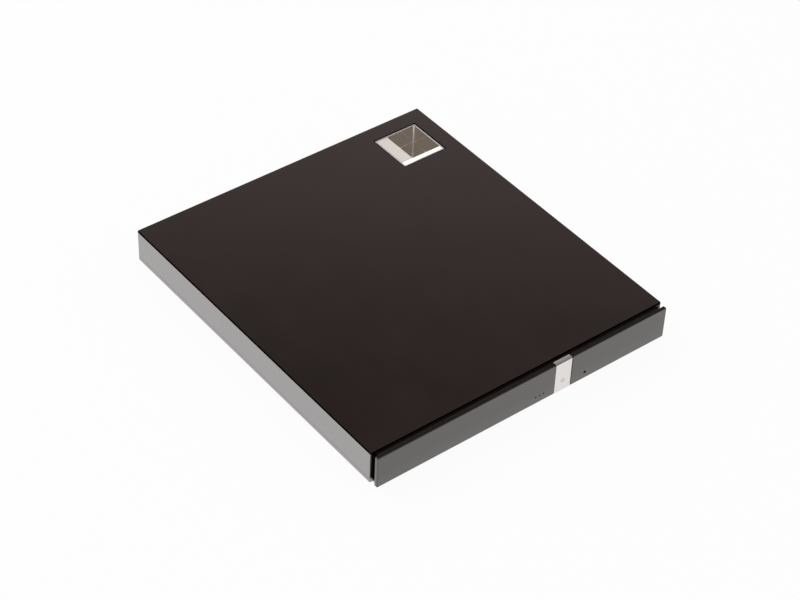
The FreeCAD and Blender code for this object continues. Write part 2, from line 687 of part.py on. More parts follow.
def damper_places():
    return [(u, EAR_REACH[side]) for u, side in DAMPERS]


def tray_shell():
    """The moulding before its posts and recess: slab, hollow corners and walls."""
    inner = TRAY_TOP_HALF - TRAY_WALL
    y0, y1 = Y_TRAY + TRAY_WALL, Y_TRAY_BACK - TRAY_WALL
    slab = block(-TRAY_TOP_HALF, TRAY_TOP_HALF, Y_TRAY, Y_TRAY_BACK, Z_SKIN, Z_RIM)
    pockets = less(block(-inner, inner, y0, y1, Z_SKIN, Z_RIM - TRAY_WALL),
                   rod(RECESS_RADIUS + TRAY_WALL, 0, Y_HUB, Z_SKIN, Z_RIM))
    slab = less(slab, pockets)
    side = block(TRAY_WEB_IN, TRAY_LIP_OUT, Y_TRAY, Y_TRAY_BACK - 2, Z_TRAY_FOOT, Z_SKIN + 0.5)
    slot = rail_strip(TRAY_WEB_OUT, TRAY_LIP_IN, y0, Y_TRAY_BACK, RAIL_FLANGE_HALF + RAIL_CLEARANCE)
    neck = rail_strip(TRAY_LIP_IN, TRAY_LIP_OUT, y0, Y_TRAY_BACK, RAIL_NECK_HALF + RAIL_CLEARANCE)
    side = less(side, slot, neck)
    front = block(-TRAY_WEB_IN, TRAY_WEB_IN, Y_TRAY, y0, Z_TRAY_FOOT, Z_SKIN)
    backs = [block(x0, x1, y1, Y_TRAY_BACK, Z_TRAY_FOOT, Z_SKIN)
             for x0, x1 in ((-TRAY_WEB_IN, PLUG_X - PLUG_WIDTH / 2 - 11),
                            (PLUG_X + PLUG_WIDTH / 2 + 13, PIN_X - 2.7), (PIN_X + 2.8, TRAY_WEB_IN))]
    return join(slab, side, mirrored(side), front, *backs)


def tray_posts():
    """Posts under the tray for its base plate, its boards and the latch's pivot."""
    ceiling = Z_RIM - TRAY_WALL / 2
    posts = [octagon(BASE_POST_RADIUS, x, y, Z_MECH, ceiling) for x, y in base_posts()]
    for board, places in ((Z_MAIN_BOARD, main_board_posts()), (Z_FRONT_BOARD, front_board_posts())):
        posts += [octagon(BOARD_POST_RADIUS, x, y, board + BOARD, ceiling) for x, y in places]
    posts.append(octagon(LEVER_BOSS_RADIUS, PIVOT_X, PIVOT_Y, Z_SKIN - LATCH_POST, ceiling))
    return posts


def post_holes():
    places = base_posts() + main_board_posts() + front_board_posts()
    holes = [octagon(BOARD_SCREW_RADIUS + PILOT_FIT, x, y, Z_MECH, Z_SKIN + 0.3) for x, y in places]
    holes.append(rod(PIVOT_RADIUS + PILOT_FIT, PIVOT_X, PIVOT_Y, Z_SKIN - LATCH_POST, Z_SKIN + 0.4))
    return holes


def damper_bars(radius, z0, z1):
    """Eight-sided bars at the four dampers, drawn along u and v."""
    return [octagon(radius, u, v, z0, z1) for u, v in damper_places()]


def disc_tray():
    damper_posts = damper_bars(DAMPER_POST_RADIUS, Z_EAR_TOP + DAMPER_LIP, Z_SKIN)
    y0 = Y_TRAY_BACK - EJECTOR_TUBE
    tube = rod_y(EJECTOR_BORE + EJECTOR_WALL, EJECTOR_X, Z_EJECTOR, y0, Y_TRAY_BACK)
    web = block(EJECTOR_X - EJECTOR_BORE, EJECTOR_X + EJECTOR_BORE, y0, Y_TRAY_BACK, Z_EJECTOR, Z_SKIN)
    tray = join(tray_shell(), *tray_posts(), join(tube, web), *on_traverse(group(damper_posts)).Solids)
    bore = rod_y(EJECTOR_BORE, EJECTOR_X, Z_EJECTOR, Y_TRAY_BACK - EJECTOR_DEPTH, Y_TRAY_BACK)
    stem_hole = rod_y(STEM_HOLE_RADIUS, BUTTON_X, Z_SWITCH, Y_TRAY, Y_TRAY + TRAY_WALL)
    pin_way = rod_y(PINHOLE_RADIUS + 0.45, PINHOLE_X, Z_PINHOLE, Y_TRAY, Y_TRAY + TRAY_WALL)
    half = GUIDE_HALF + 0.3
    lamp_window = block(LAMP_HOLES_X - half, LAMP_HOLES_X + half, Y_TRAY, Y_TRAY + TRAY_WALL,
                        Z_TRAY_FOOT, Z_LAMP + 0.8)
    recess = rod(RECESS_RADIUS, 0, 0, Z_RECESS, Z_RIM)
    window = deck_blank(WINDOW_GAP, Z_SKIN, Z_RECESS)
    notch = block(LENS_OUTER - 8, LENS_OUTER + 4.5, -LENS_WAY - 0.8, LENS_WAY + 0.8, Z_SKIN, Z_RIM)
    cuts = [recess, window, notch] + damper_bars(DAMPER_SCREW_RADIUS + PILOT_FIT, Z_MECH, Z_SKIN - 0.1)
    return less(tray, bore, stem_hole, pin_way, lamp_window, *post_holes(), *on_traverse(group(cuts)).Solids)


def bezel_blank(depth):
    """The bezel's outline with its rounded front edge, to the given depth."""
    half = CASE_HALF - BEZEL_INSET
    shape = block(-half, half, Y_FRONT, Y_FRONT + depth, Z_CASE + BEZEL_STEP, Z_TOP - BEZEL_STEP)
    ends = [edge for edge in shape.Edges
            if abs(edge.Vertexes[0].Point.y - edge.Vertexes[1].Point.y) > 1e-6]
    shape = shape.makeFillet(BEZEL_END_RADIUS, ends)
    return round_edges(shape, BEZEL_EDGE_RADIUS, lambda p: abs(p.y - Y_FRONT) < 1e-6)


def button_slot():
    """The slot's two sides and its back, round the button with a gap."""
    reach = BUTTON_WIDTH / 2 + BUTTON_GAP
    return BUTTON_X - reach, BUTTON_X + reach, Y_FRONT + BUTTON_DEPTH + BUTTON_TRAVEL + 0.2


def tray_bezel():
    face = bezel_blank(BEZEL_THICKNESS)
    half = CASE_HALF - PLUG_INSET
    z0, z1 = Z_CASE + PLUG_FROM_FLOOR, Z_TOP - PLUG_FROM_TOP
    y1 = Y_PLATE + PLUG_DEPTH
    plug = less(block(-half, half, Y_PLATE, y1, z0, z1),
                block(-half + PLUG_WALL, half - PLUG_WALL, Y_PLATE, y1, z0 + PLUG_WALL, z1 - PLUG_WALL))
    slot_x0, slot_x1, slot_back = button_slot()
    web = block(slot_x0 - PLUG_WALL, slot_x1 + PLUG_WALL, Y_PLATE, slot_back + RIB, z0, z1)
    cuts = [block(slot_x0, slot_x1, Y_FRONT, slot_back, Z_CASE, Z_TOP)]
    cuts.append(rod_y(STEM_HOLE_RADIUS, BUTTON_X, Z_SWITCH, slot_back, slot_back + RIB))
    cuts += [rod_y(LAMP_HOLE_RADIUS, LAMP_HOLES_X + step * LAMP_HOLE_PITCH, Z_LAMP, Y_FRONT, Y_PLATE)
             for step in (-1, 0, 1)]
    cuts.append(rod_y(PINHOLE_RADIUS, PINHOLE_X, Z_PINHOLE, Y_FRONT, Y_PLATE))
    return less(join(face, plug, web, *bezel_rests(), *bezel_hooks()), *cuts)


def bezel_rests():
    """Ribs that keep the bezel at its distance from the tray's front wall."""
    reach = PAN_HALF - 9
    return [block(x - RIB * 0.6, x + RIB * 0.6, Y_PLATE, Y_TRAY - 0.05, Z_TRAY_FOOT + 0.4, Z_RIM - 0.6)
            for x in (-reach, -reach / 3, reach * 0.7, reach)]


def bezel_hooks():
    """Snap hooks that reach under the tray's front wall and up behind it."""
    reach, half, y0 = PAN_HALF - 9, HOOK_HALF, Y_TRAY + TRAY_WALL + 0.1
    y1 = y0 + HOOK_THICKNESS
    hooks = []
    for x in (-reach + 3, -8.0, reach - 2.4):
        arm = block(x - half, x + half, Y_PLATE, y1, Z_PAN + 0.2, Z_TRAY_FOOT - 0.1)
        nose = block(x - half, x + half, y0, y1, Z_PAN + 0.2, Z_TRAY_FOOT + 1.2)
        hooks.append(join(arm, nose))
    return hooks


def eject_button():
    x0, x1 = BUTTON_X - BUTTON_WIDTH / 2, BUTTON_X + BUTTON_WIDTH / 2
    cap = bezel_blank(BUTTON_DEPTH).common(block(x0, x1, Y_FRONT, Y_FRONT + BUTTON_DEPTH, Z_CASE, Z_TOP))
    stem = rod_y(STEM_RADIUS, BUTTON_X, Z_SWITCH, Y_FRONT + BUTTON_DEPTH - 0.2, Y_TRAY + 0.05)
    dimple = rod_y(DIMPLE_RADIUS, BUTTON_X, Z_DIMPLE, Y_FRONT, Y_FRONT + DIMPLE_DEPTH)
    return less(join(cap, stem), dimple)


def screw_hole(x, y, z0, z1):
    """A clearance hole for a small screw in a sheet or a board."""
    return octagon(BOARD_SCREW_RADIUS + BOARD_HOLE_FIT, x, y, z0, z1)


def base_plate():
    """A thin sheet under the traverse, with two corners cut off to clear the latch and the board."""
    x0, x1 = -TRAY_WEB_IN + PLATE_INSET, PLATE_RIGHT
    y0, y1 = Y_TRAY + PLATE_FRONT, Y_HUB + PLATE_BACK
    sheet = plate([(x0 + PLATE_FRONT_CUT, y0), (x1, y0), (x1, y1 - PLATE_BACK_CUT), (x1 - PLATE_BACK_CUT, y1),
                   (x0, y1), (x0, y0 + PLATE_FRONT_CUT)], Z_BASE, Z_MECH)
    return less(sheet, *[screw_hole(x, y, Z_BASE, Z_MECH) for x, y in base_posts()])


def tray_screws():
    below = [(x, y, Z_BASE) for x, y in base_posts()]
    boards = [(x, y, Z_MAIN_BOARD) for x, y in main_board_posts()]
    boards += [(x, y, Z_FRONT_BOARD) for x, y in front_board_posts()]
    return group([screw(x, y, z, BOARD_SCREW_HEAD, head, BOARD_SCREW_RADIUS, BOARD_SCREW_LENGTH, up=-1)
                  for places, head in ((below, 0.25), (boards, 0.6)) for x, y, z in places])


# Traverse

def traverse_frame():
    edge0, edge1 = FRAME_EDGE[-1], FRAME_EDGE[1]
    outline = [(-DECK_TAIL - 2, edge0), (FRAME_END - 4.8, edge0), (FRAME_END, -ROD_SPREAD - 2.3),
               (FRAME_END, ROD_SPREAD + 2.5), (FRAME_END - 3.8, ROD_SPREAD + 6), (FRAME_END - 3.8, edge1),
               (-DECK_TAIL - 2, edge1)]
    pieces = [plate(outline, Z_FRAME, Z_FRAME_TOP)]
    for v in (-ROD_SPREAD, ROD_SPREAD):
        pieces.append(bearing_block(ROD_START, ROD_START + 2.5, v))
        pieces.append(bearing_block(FRAME_END - ROD_MOUNT, FRAME_END, v))
    pieces.append(bearing_block(FRAME_END - 6.2, FRAME_END - 4.2, SCREW_V))
    pillars = [octagon(DECK_POST_RADIUS, u, v, Z_FRAME_TOP, Z_DECK) for u, v in deck_posts()]
    frame = join(*pieces, *damper_ears(), *pillars)
    cuts = [block(SLED_BACK - 0.4, SLED_FRONT + PICKUP_TRAVEL + 0.4, -SLED_HALF - 0.8, SLED_HALF + 0.8,
                  Z_FRAME, Z_FRAME_TOP)]
    cuts.append(block(*motor_box(0.2)))
    cuts += damper_bars(EAR_HOLE_RADIUS, Z_FRAME, Z_SKIN)
    cuts += [rod_x(ROD_RADIUS + PILOT_FIT, v, Z_ROD, ROD_START, FRAME_END) for v in (-ROD_SPREAD, ROD_SPREAD)]
    cuts.append(rod_x(LEAD_SCREW_RADIUS + RUNNING_FIT, SCREW_V, Z_ROD, FRAME_END - 7, FRAME_END))
    cuts += [octagon(DECK_SCREW_RADIUS + PILOT_FIT, u, v, Z_DECK - 2.5, Z_DECK) for u, v in deck_posts()]
    return on_traverse(less(frame, *cuts))


def bearing_block(u0, u1, v):
    """A block on the frame that holds the end of a guide rod or of the lead screw."""
    return block(u0, u1, v - BEARING_HALF, v + BEARING_HALF, Z_FRAME_TOP, Z_ROD + 1.4)


def damper_ears():
    """Raised ears at the frame's edges, each on a short step, that hold the rubber dampers."""
    ears = []
    for u, side in DAMPERS:
        edge = FRAME_EDGE[side]
        near, far = sorted((edge, EAR_REACH[side] + side * DAMPER_RADIUS))
        ears.append(block(u - EAR_HALF, u + EAR_HALF, near, far, Z_EAR, Z_EAR_TOP))
        near, far = sorted((edge - side * 0.2, edge + side * 0.6))
        ears.append(block(u - EAR_HALF, u + EAR_HALF, near, far, Z_FRAME, Z_EAR_TOP))
    return ears


def deck_posts():
    beside_sled = SLED_HALF + DECK_POST_RADIUS + 0.4
    return [(-DECK_TAIL + 1.7, -14.4), (LENS_OUTER - 12, -beside_sled), (SLED_BACK + 2, beside_sled)]


def motor_box(grow):
    return (STEPPER_END - STEPPER_LENGTH - grow, STEPPER_END + grow, SCREW_V - STEPPER_HALF - grow,
            SCREW_V + STEPPER_HALF + grow, Z_FRAME - grow, Z_ROD + 2.0 + grow)


def deck_cover():
    sheet = deck_blank(0.0, Z_DECK, Z_DECK + DECK_SHEET)
    cuts = [rod(BELL_RADIUS + 0.8, 0, 0, Z_DECK, Z_RECESS)]
    cuts.append(block(LENS_INNER - 5, DISC_RADIUS, -LENS_WAY, LENS_WAY, Z_DECK, Z_RECESS))
    cuts += [octagon(DECK_SCREW_RADIUS + PILOT_FIT, u, v, Z_DECK, Z_RECESS) for u, v in deck_posts()]
    return on_traverse(less(sheet, *cuts))


def deck_screws():
    return on_traverse(group(screw(u, v, Z_DECK + DECK_SHEET, 1.1, 0.18, DECK_SCREW_RADIUS, 2.4)
                             for u, v in deck_posts()))


def damper_grommets():
    """Rubber bushes with a lip on each side of the ear and a neck through it."""
    grommets = []
    for u, v in damper_places():
        lips = [rod(DAMPER_RADIUS, u, v, z, z + DAMPER_LIP) for z in (Z_EAR - DAMPER_LIP, Z_EAR_TOP)]
        neck = octagon(EAR_HOLE_RADIUS, u, v, Z_EAR, Z_EAR_TOP)
        bore = octagon(DAMPER_SCREW_RADIUS + 0.05, u, v, Z_EAR - DAMPER_LIP, Z_EAR_TOP + DAMPER_LIP)
        grommets.append(less(join(neck, *lips), bore))
    return on_traverse(group(grommets))


def damper_screws():
    seat = Z_EAR - DAMPER_LIP
    return on_traverse(group(screw(u, v, seat, DAMPER_POST_RADIUS, DAMPER_SCREW_HEAD_HEIGHT,
                                   DAMPER_SCREW_RADIUS, DAMPER_SCREW_LENGTH, up=-1)
                             for u, v in damper_places()))


def guide_rods():
    return on_traverse(group(rod_x(ROD_RADIUS, v, Z_ROD, ROD_START + 0.1, FRAME_END - 0.1)
                             for v in (-ROD_SPREAD, ROD_SPREAD)))


def stepper_motor():
    u0, u1, v0, v1, z0, z1 = motor_box(0.0)
    body = block(u0, u1, v0, v1, z0, z1)
    sides = [edge for edge in body.Edges if abs(edge.Vertexes[0].Point.x - edge.Vertexes[1].Point.x) > 1]
    return on_traverse(body.makeFillet(STEPPER_ROUND, sides))


def lead_screw():
    return on_traverse(rod_x(LEAD_SCREW_RADIUS, SCREW_V, Z_ROD, STEPPER_END + 0.1, FRAME_END - 4.3))


# Spindle

def motor_board():
    z1 = Z_FRAME_TOP + MOTOR_BOARD
    disc = rod(BELL_RADIUS - MAGNET_RING, 0, 0, Z_FRAME_TOP, z1)
    tail = block(-DECK_TAIL - 1, 0, -6, 6, Z_FRAME_TOP, z1)
    return on_traverse(less(join(disc, tail), rod(SLEEVE_RADIUS + PILOT_FIT, 0, 0, Z_FRAME_TOP, z1)))


def bearing_sleeve():
    top = Z_BELL_TOP - BELL_WALL - 0.5
    return on_traverse(ring(SLEEVE_RADIUS, SHAFT_RADIUS + RUNNING_FIT, 0, 0, Z_FRAME_TOP, top))


def motor_stator():
    z0, z1 = Z_FRAME_TOP + 1.1, Z_BELL_TOP - BELL_WALL - 1.0
    head = STATOR_RADIUS - TOOTH_HEAD
    tooth = join(block(SLEEVE_RADIUS + TOOTH_HEAD, head, -TOOTH_HALF, TOOTH_HALF, z0, z1),
                 block(head, STATOR_RADIUS, -TOOTH_HEAD_HALF, TOOTH_HEAD_HALF, z0, z1))
    core = [rod(SLEEVE_RADIUS + STATOR_CORE, 0, 0, z0, z1)]
    for step in range(STATOR_TEETH):
        turned = tooth.copy()
        turned.rotate(V(0, 0, 0), UP, step * 360.0 / STATOR_TEETH)
        core.append(turned)
    return on_traverse(less(join(*core), rod(SLEEVE_RADIUS, 0, 0, z0, z1)))


def rotor_bell():
    outer = rod(BELL_RADIUS, 0, 0, Z_BELL, Z_BELL_TOP)
    inner = rod(BELL_RADIUS - BELL_WALL, 0, 0, Z_BELL, Z_BELL_TOP - BELL_WALL)
    return on_traverse(less(outer, inner, rod(SHAFT_RADIUS, 0, 0, Z_BELL, Z_BELL_TOP)))


def rotor_magnet():
    outer = BELL_RADIUS - BELL_WALL
    return on_traverse(ring(outer, outer - MAGNET_RING, 0, 0, Z_BELL + 0.2, Z_BELL_TOP - BELL_WALL - 0.3))


def spindle_shaft():
    return on_traverse(rod(SHAFT_RADIUS, 0, 0, Z_FRAME_TOP + 0.1, Z_BELL_TOP + 0.5))


def turntable_pad():
    return on_traverse(ring(BELL_RADIUS - 0.4, BELL_RADIUS - 3.2, 0, 0, Z_BELL_TOP, Z_SEAT))


def claw_profile():
    """Half section of a claw: a nose that rides over the disc's hole and holds it down."""
    nose = DISC_HOLE / 2 + 0.5
    return [(3.6, Z_DISC_TOP - 0.8), (nose - 0.8, Z_DISC_TOP - 0.8), (nose, Z_DISC_TOP + 0.1),
            (nose - 0.4, Z_DISC_TOP + 0.4), (3.6, Z_DISC_TOP + 0.4)]


def chuck_hub():
    radius = DISC_HOLE / 2 - HUB_CLEARANCE
    hub = break_edges(rod(radius, 0, 0, Z_BELL_TOP, Z_HUB_TOP), 0.5, lambda p: abs(p.z - Z_HUB_TOP) < 1e-6)
    slots = []
    for step in range(3):
        slot = block(3.5 - CLAW_TRAVEL, radius + 1, -CLAW_WIDTH / 2 - 0.1, CLAW_WIDTH / 2 + 0.1,
                     Z_DISC_TOP - 0.85, Z_DISC_TOP + 0.45)
        slot.rotate(V(0, 0, 0), UP, step * 120.0)
        slots.append(slot)
    return on_traverse(less(hub, rod(SHAFT_RADIUS, 0, 0, Z_BELL_TOP, Z_BELL_TOP + 0.6), *slots))


def chuck_claw(step):
    corners = [V(r, -CLAW_WIDTH / 2, z) for r, z in claw_profile()]
    claw = Part.Face(Part.makePolygon(corners + corners[:1])).extrude(V(0, CLAW_WIDTH, 0))
    claw.rotate(V(0, 0, 0), UP, step * 120.0)
    return on_traverse(claw)


# Pickup

def pickup_sled():
    body = block(SLED_BACK, SLED_FRONT, -SLED_HALF, SLED_HALF, Z_SLED, Z_SLED_TOP)
    body = body.makeChamfer(SLED_CORNER, [edge for edge in body.Edges if upright(edge)])
    u, v = ACTUATOR_HALF
    actuator = block(LENS_INNER - u, LENS_INNER + u, -v, v, Z_ACTUATOR, Z_SLED_TOP)
    middle, half = SLED_HALF - 5.2, WAIST_WIDTH / 2
    waist = [block(SLED_BACK + 3, SLED_FRONT - 5, v - half, v + half, Z_SLED_TOP - WAIST_DEPTH, Z_SLED_TOP)
             for v in (-middle, middle)]
    bores = [rod_x(ROD_RADIUS + RUNNING_FIT, v, Z_ROD, SLED_BACK, SLED_FRONT)
             for v in (-ROD_SPREAD, ROD_SPREAD)]
    return on_traverse(less(body, actuator, *waist, *bores))


def actuator_magnets():
    """Two magnets that face the lens holder's coils across the sled's well."""
    thick, half = ACTUATOR_MAGNET
    out = ACTUATOR_HALF[0] - 0.3
    return on_traverse(group(block(u, u + thick, -half, half, Z_ACTUATOR, Z_SLED_TOP)
                             for u in (LENS_INNER - out, LENS_INNER + out - thick)))


def lens_holder():
    u, v = HOLDER_HALF
    body = block(LENS_INNER - u, LENS_INNER + u, -v, v, Z_HOLDER_TOP - HOLDER_DEPTH, Z_HOLDER_TOP)
    body = body.makeChamfer(HOLDER_CORNER, [edge for edge in body.Edges if upright(edge)])
    wells = [rod(LENS_RADIUS + PILOT_FIT, LENS_INNER, v, Z_LENS, Z_HOLDER_TOP)
             for v in (-LENS_OFFSET, LENS_OFFSET)]
    return on_traverse(less(body, *wells))


def objective_lenses():
    """Two lenses, one for each laser, whose upper faces are caps of a ball."""
    lenses, edge = [], Z_LENS + LENS_EDGE
    for v in (-LENS_OFFSET, LENS_OFFSET):
        barrel = rod(LENS_RADIUS, LENS_INNER, v, Z_LENS, edge)
        ball = Part.makeSphere(LENS_DOME, V(LENS_INNER, v, Z_RECESS - 0.1 - LENS_DOME))
        dome = rod(LENS_RADIUS, LENS_INNER, v, edge, Z_RECESS).common(ball)
        lenses.append(join(barrel, dome))
    return on_traverse(group(lenses))


def feed_nut():
    arm = block(LENS_INNER - 4, LENS_INNER + 2, SLED_HALF, SCREW_V - 0.3, Z_FRAME_TOP + 0.2, Z_ROD + 1.5)
    thread = rod_x(LEAD_SCREW_RADIUS + 0.1, SCREW_V, Z_ROD, LENS_INNER - 5, LENS_INNER + 3)
    return on_traverse(less(arm, thread))


# Latch, release and ejector

def striker_pin():
    pin = rod(PIN_RADIUS, PIN_X, PIN_Y, Z_PAN, Z_LEVER_TOP + 0.4)
    return join(pin, rod(PIN_SHANK, PIN_X, PIN_Y, Z_DRIVE, Z_PAN))


def latch_lever():
    """An arm with a hook behind the striker pin, and a tail that the emergency pin pushes on."""
    z0, z1 = Z_LEVER, Z_LEVER_TOP
    x0 = PIN_X + PIN_RADIUS + LEVER_ARM_GAP
    x1 = x0 + LEVER_ARM
    y0, y1 = PIN_Y + PIN_RADIUS + LEVER_HOOK_GAP, PIN_Y + LEVER_HOOK_REACH
    arm = block(x0, x1, PIVOT_Y, y1, z0, z1)
    tip = plate([(PIN_X - 0.4, y0), (x1, y0), (x1, y1), (PIN_X + 0.6, y1)], z0, z1)
    y0 = PIVOT_Y - LEVER_TAIL
    neck = block(PIVOT_X - LEVER_NECK_HALF, PIVOT_X + LEVER_NECK_HALF, y0, PIVOT_Y, z0, z1)
    release = block(PINHOLE_X - 1.5, PIVOT_X + LEVER_NECK_HALF, y0, y0 + LEVER_TAIL_WIDTH, z0, z1)
    boss = rod(LEVER_BOSS_RADIUS, PIVOT_X, PIVOT_Y, z0, Z_SKIN - LATCH_POST - LEVER_GAP)
    stud = rod(STUD_RADIUS, STUD_X, STUD_Y, z0, Z_PLUNGER + 0.7)
    bore = rod(PIVOT_RADIUS + RUNNING_FIT, PIVOT_X, PIVOT_Y, z0, Z_SKIN)
    return less(join(arm, tip, neck, release, boss, stud), bore)


def latch_pivot():
    seat = Z_LEVER - LEVER_GAP
    return join(rod(PIVOT_HEAD_RADIUS, PIVOT_X, PIVOT_Y, seat - PIVOT_HEAD_HEIGHT, seat),
                rod(PIVOT_RADIUS, PIVOT_X, PIVOT_Y, seat, Z_SKIN + 0.2))


def latch_spring():
    inner = LEVER_BOSS_RADIUS + LEVER_GAP
    return ring(inner + LATCH_SPRING_WIRE, inner, PIVOT_X, PIVOT_Y, Z_LEVER_TOP + LEVER_GAP,
                Z_SKIN - LATCH_POST - 0.3)


def solenoid_box():
    return (PIVOT_X + 5.0, TRAY_WEB_IN - 0.8, STUD_Y - COIL_HALF, STUD_Y + COIL_HALF,
            Z_LEVER + 0.2, Z_SKIN - 0.2)


def solenoid_frame():
    x0, x1, y0, y1, z0, z1 = solenoid_box()
    sheet = COIL_BRACKET
    bracket = less(block(x0, x1, y0, y1, z0, z1), block(x0 + sheet, x1 - sheet, y0, y1, z0, z1 - sheet))
    return less(bracket, rod_x(COIL_BORE, STUD_Y, Z_PLUNGER, x0, x0 + sheet))


def solenoid_coil():
    x0, x1, _, _, _, z1 = solenoid_box()
    reach = z1 - COIL_BRACKET - 0.1 - Z_PLUNGER
    end = COIL_BRACKET + 0.05
    winding = rod_x(reach, STUD_Y, Z_PLUNGER, x0 + end, x1 - end)
    return less(winding, rod_x(COIL_BORE, STUD_Y, Z_PLUNGER, x0, x1))


def solenoid_plunger():
    x0 = solenoid_box()[0]
    z0, z1 = Z_PLUNGER - PLUNGER_HALF, Z_PLUNGER + PLUNGER_HALF
    stem = rod_x(PLUNGER_RADIUS, STUD_Y, Z_PLUNGER, STUD_X + 1.8, x0 + PLUNGER_DIP)
    eye = block(STUD_X - 1.5, STUD_X + 2.3, STUD_Y - 1.7, STUD_Y + 1.5, z0, z1)
    reach = STUD_RADIUS + 0.15
    slot = join(rod(reach, STUD_X, STUD_Y, z0, z1), rod(reach, STUD_X, STUD_Y - EYE_SLOT, z0, z1),
                block(STUD_X - reach, STUD_X + reach, STUD_Y - EYE_SLOT, STUD_Y, z0, z1))
    return less(join(stem, eye), slot)


def ejector_plunger():
    y1 = Y_DRIVE_BACK - SHEET - 0.2
    return rod_y(EJECTOR_BORE - EJECTOR_FIT, EJECTOR_X, Z_EJECTOR, y1 - EJECTOR_LENGTH, y1)


def ejector_spring():
    y1 = Y_DRIVE_BACK - SHEET - 0.3 - EJECTOR_LENGTH
    y0 = Y_TRAY_BACK - EJECTOR_DEPTH + 0.1
    outer = EJECTOR_BORE - EJECTOR_FIT - 0.05
    return less(rod_y(outer, EJECTOR_X, Z_EJECTOR, y0, y1),
                rod_y(outer - EJECTOR_WIRE, EJECTOR_X, Z_EJECTOR, y0, y1))


# Boards

def front_board():
    x0, x1 = FRONT_BOARD_SPAN
    board = block(x0, x1, Y_FRONT_PIECES, Y_TRAY + FRONT_BOARD_BACK, Z_FRONT_BOARD, Z_FRONT_BOARD + BOARD)
    return less(board, *[screw_hole(x, y, Z_FRONT_BOARD, Z_SKIN) for x, y in front_board_posts()])


def eject_switch():
    y0 = Y_FRONT_PIECES
    body = block(BUTTON_X - SWITCH_HALF, BUTTON_X + SWITCH_HALF, y0, y0 + SWITCH_DEPTH,
                 Z_FRONT_BOARD + BOARD, Z_SKIN - 0.1)
    nub = rod_y(SWITCH_NUB, BUTTON_X, Z_SWITCH, Y_TRAY + BUTTON_TRAVEL + 0.1, y0)
    return join(body, nub)


def indicator_lamp():
    wide, deep, tall = LAMP_SIZE
    return block(LAMP_HOLES_X - wide / 2, LAMP_HOLES_X + wide / 2, Y_FRONT_PIECES, Y_FRONT_PIECES + deep,
                 Z_FRONT_BOARD - tall, Z_FRONT_BOARD)


def light_guide():
    y1 = Y_FRONT_PIECES - 0.1
    bar = block(LAMP_HOLES_X - GUIDE_HALF, LAMP_HOLES_X + GUIDE_HALF, Y_PLATE + 0.05, y1,
                Z_LAMP - 0.45, Z_LAMP + 0.5)
    inner_ends = [edge for edge in bar.Edges if upright(edge) and edge.Vertexes[0].Point.y > Y_TRAY]
    return bar.makeChamfer(GUIDE_BEND, inner_ends)


def main_board():
    x0, x1, y0, y1 = main_board_box()
    board = plate([(x0, y0), (x1, y0), (x1, y1), (x0, y1)], Z_MAIN_BOARD, Z_MAIN_BOARD + BOARD)
    return less(board, *[screw_hole(x, y, Z_MAIN_BOARD, Z_SKIN) for x, y in main_board_posts()])


def main_board_chips():
    x0, x1, y0, y1 = main_board_box()
    middle = (y0 + y1) / 2
    below = [block(x, x + wide, middle - wide / 2, middle + wide / 2, Z_MAIN_BOARD - 1.1, Z_MAIN_BOARD)
             for x, wide in ((-8.0, 13.0), (12.0, 8.0), (x0 + 3.5, 7.0))]
    above = [block(x, x + wide, middle - 3, middle + 3, Z_MAIN_BOARD + BOARD, Z_MAIN_BOARD + BOARD + 1.2)
             for x, wide in ((-40.0, 9.0), (-14.0, 6.0), (4.0, 6.0), (20.0, 5.0))]
    return group(below + above)


def ribbon_box():
    """Side edges, far end at the tray's board, near end at the connector board, and the fold."""
    tray_end = (Y_TRAY_BACK - CONNECTOR_POCKET) - 7.0
    case_end = Y_DRIVE_BACK - 9.0
    fold = (tray_end + case_end - (case_end - tray_end + TRAY_TRAVEL)) / 2
    return RIBBON_X - RIBBON_WIDTH / 2, RIBBON_X + RIBBON_WIDTH / 2, tray_end, case_end, fold


def main_ribbon_socket():
    x0, x1, tray_end, _, _ = ribbon_box()
    return block(x0 - 1, x1 + 1, tray_end - RIBBON_SOCKET, tray_end, Z_BASE - 0.25, Z_MAIN_BOARD)


def flex_ribbon():
    """A flat cable folded once under the tray; the fold runs forward as the tray opens."""
    x0, x1, tray_end, case_end, fold = ribbon_box()
    low, high = Z_PAN + 0.05, Z_BASE - 0.3
    bend = (high - low) / 2
    lower = block(x0, x1, fold + bend, case_end, low, low + RIBBON_THICKNESS)
    upper = block(x0, x1, fold + bend, tray_end, high - RIBBON_THICKNESS, high)
    turn = rod_x(bend, fold + bend, low + bend, x0, x1).cut(
        [rod_x(bend - RIBBON_THICKNESS, fold + bend, low + bend, x0, x1),
         block(x0, x1, fold + bend, fold + 3 * bend, low, high)])
    return join(lower, turn, upper)


def connector_posts():
    return PLUG_X - PLUG_WIDTH / 2 - 6.0, PLUG_X + PLUG_WIDTH / 2 + 8.0


def connector_board():
    x0, x1 = PLUG_X - PLUG_WIDTH / 2 - 9.0, PLUG_X + PLUG_WIDTH / 2 + 11.0
    return block(x0, x1, Y_DRIVE_BACK - 9.2, Y_DRIVE_BACK - SHEET - 0.2, Z_SOCKETS - BOARD, Z_SOCKETS)


def ribbon_socket():
    x0, x1, _, case_end, _ = ribbon_box()
    return block(x0 - 1, x1 + 1, case_end, case_end + RIBBON_SOCKET, Z_PAN + 0.02, Z_SOCKETS - BOARD)


def plug_tongue(grow):
    half = PLUG_WIDTH / 2 - 4 + grow
    middle = Z_SOCKETS + SOCKET_HEIGHT / 2
    return block(PLUG_X - half, PLUG_X + half, Y_DRIVE_BACK - 4.4, Y_DRIVE_BACK + 1.0 + grow,
                 middle - 0.3 - grow, middle + 0.3 + grow)


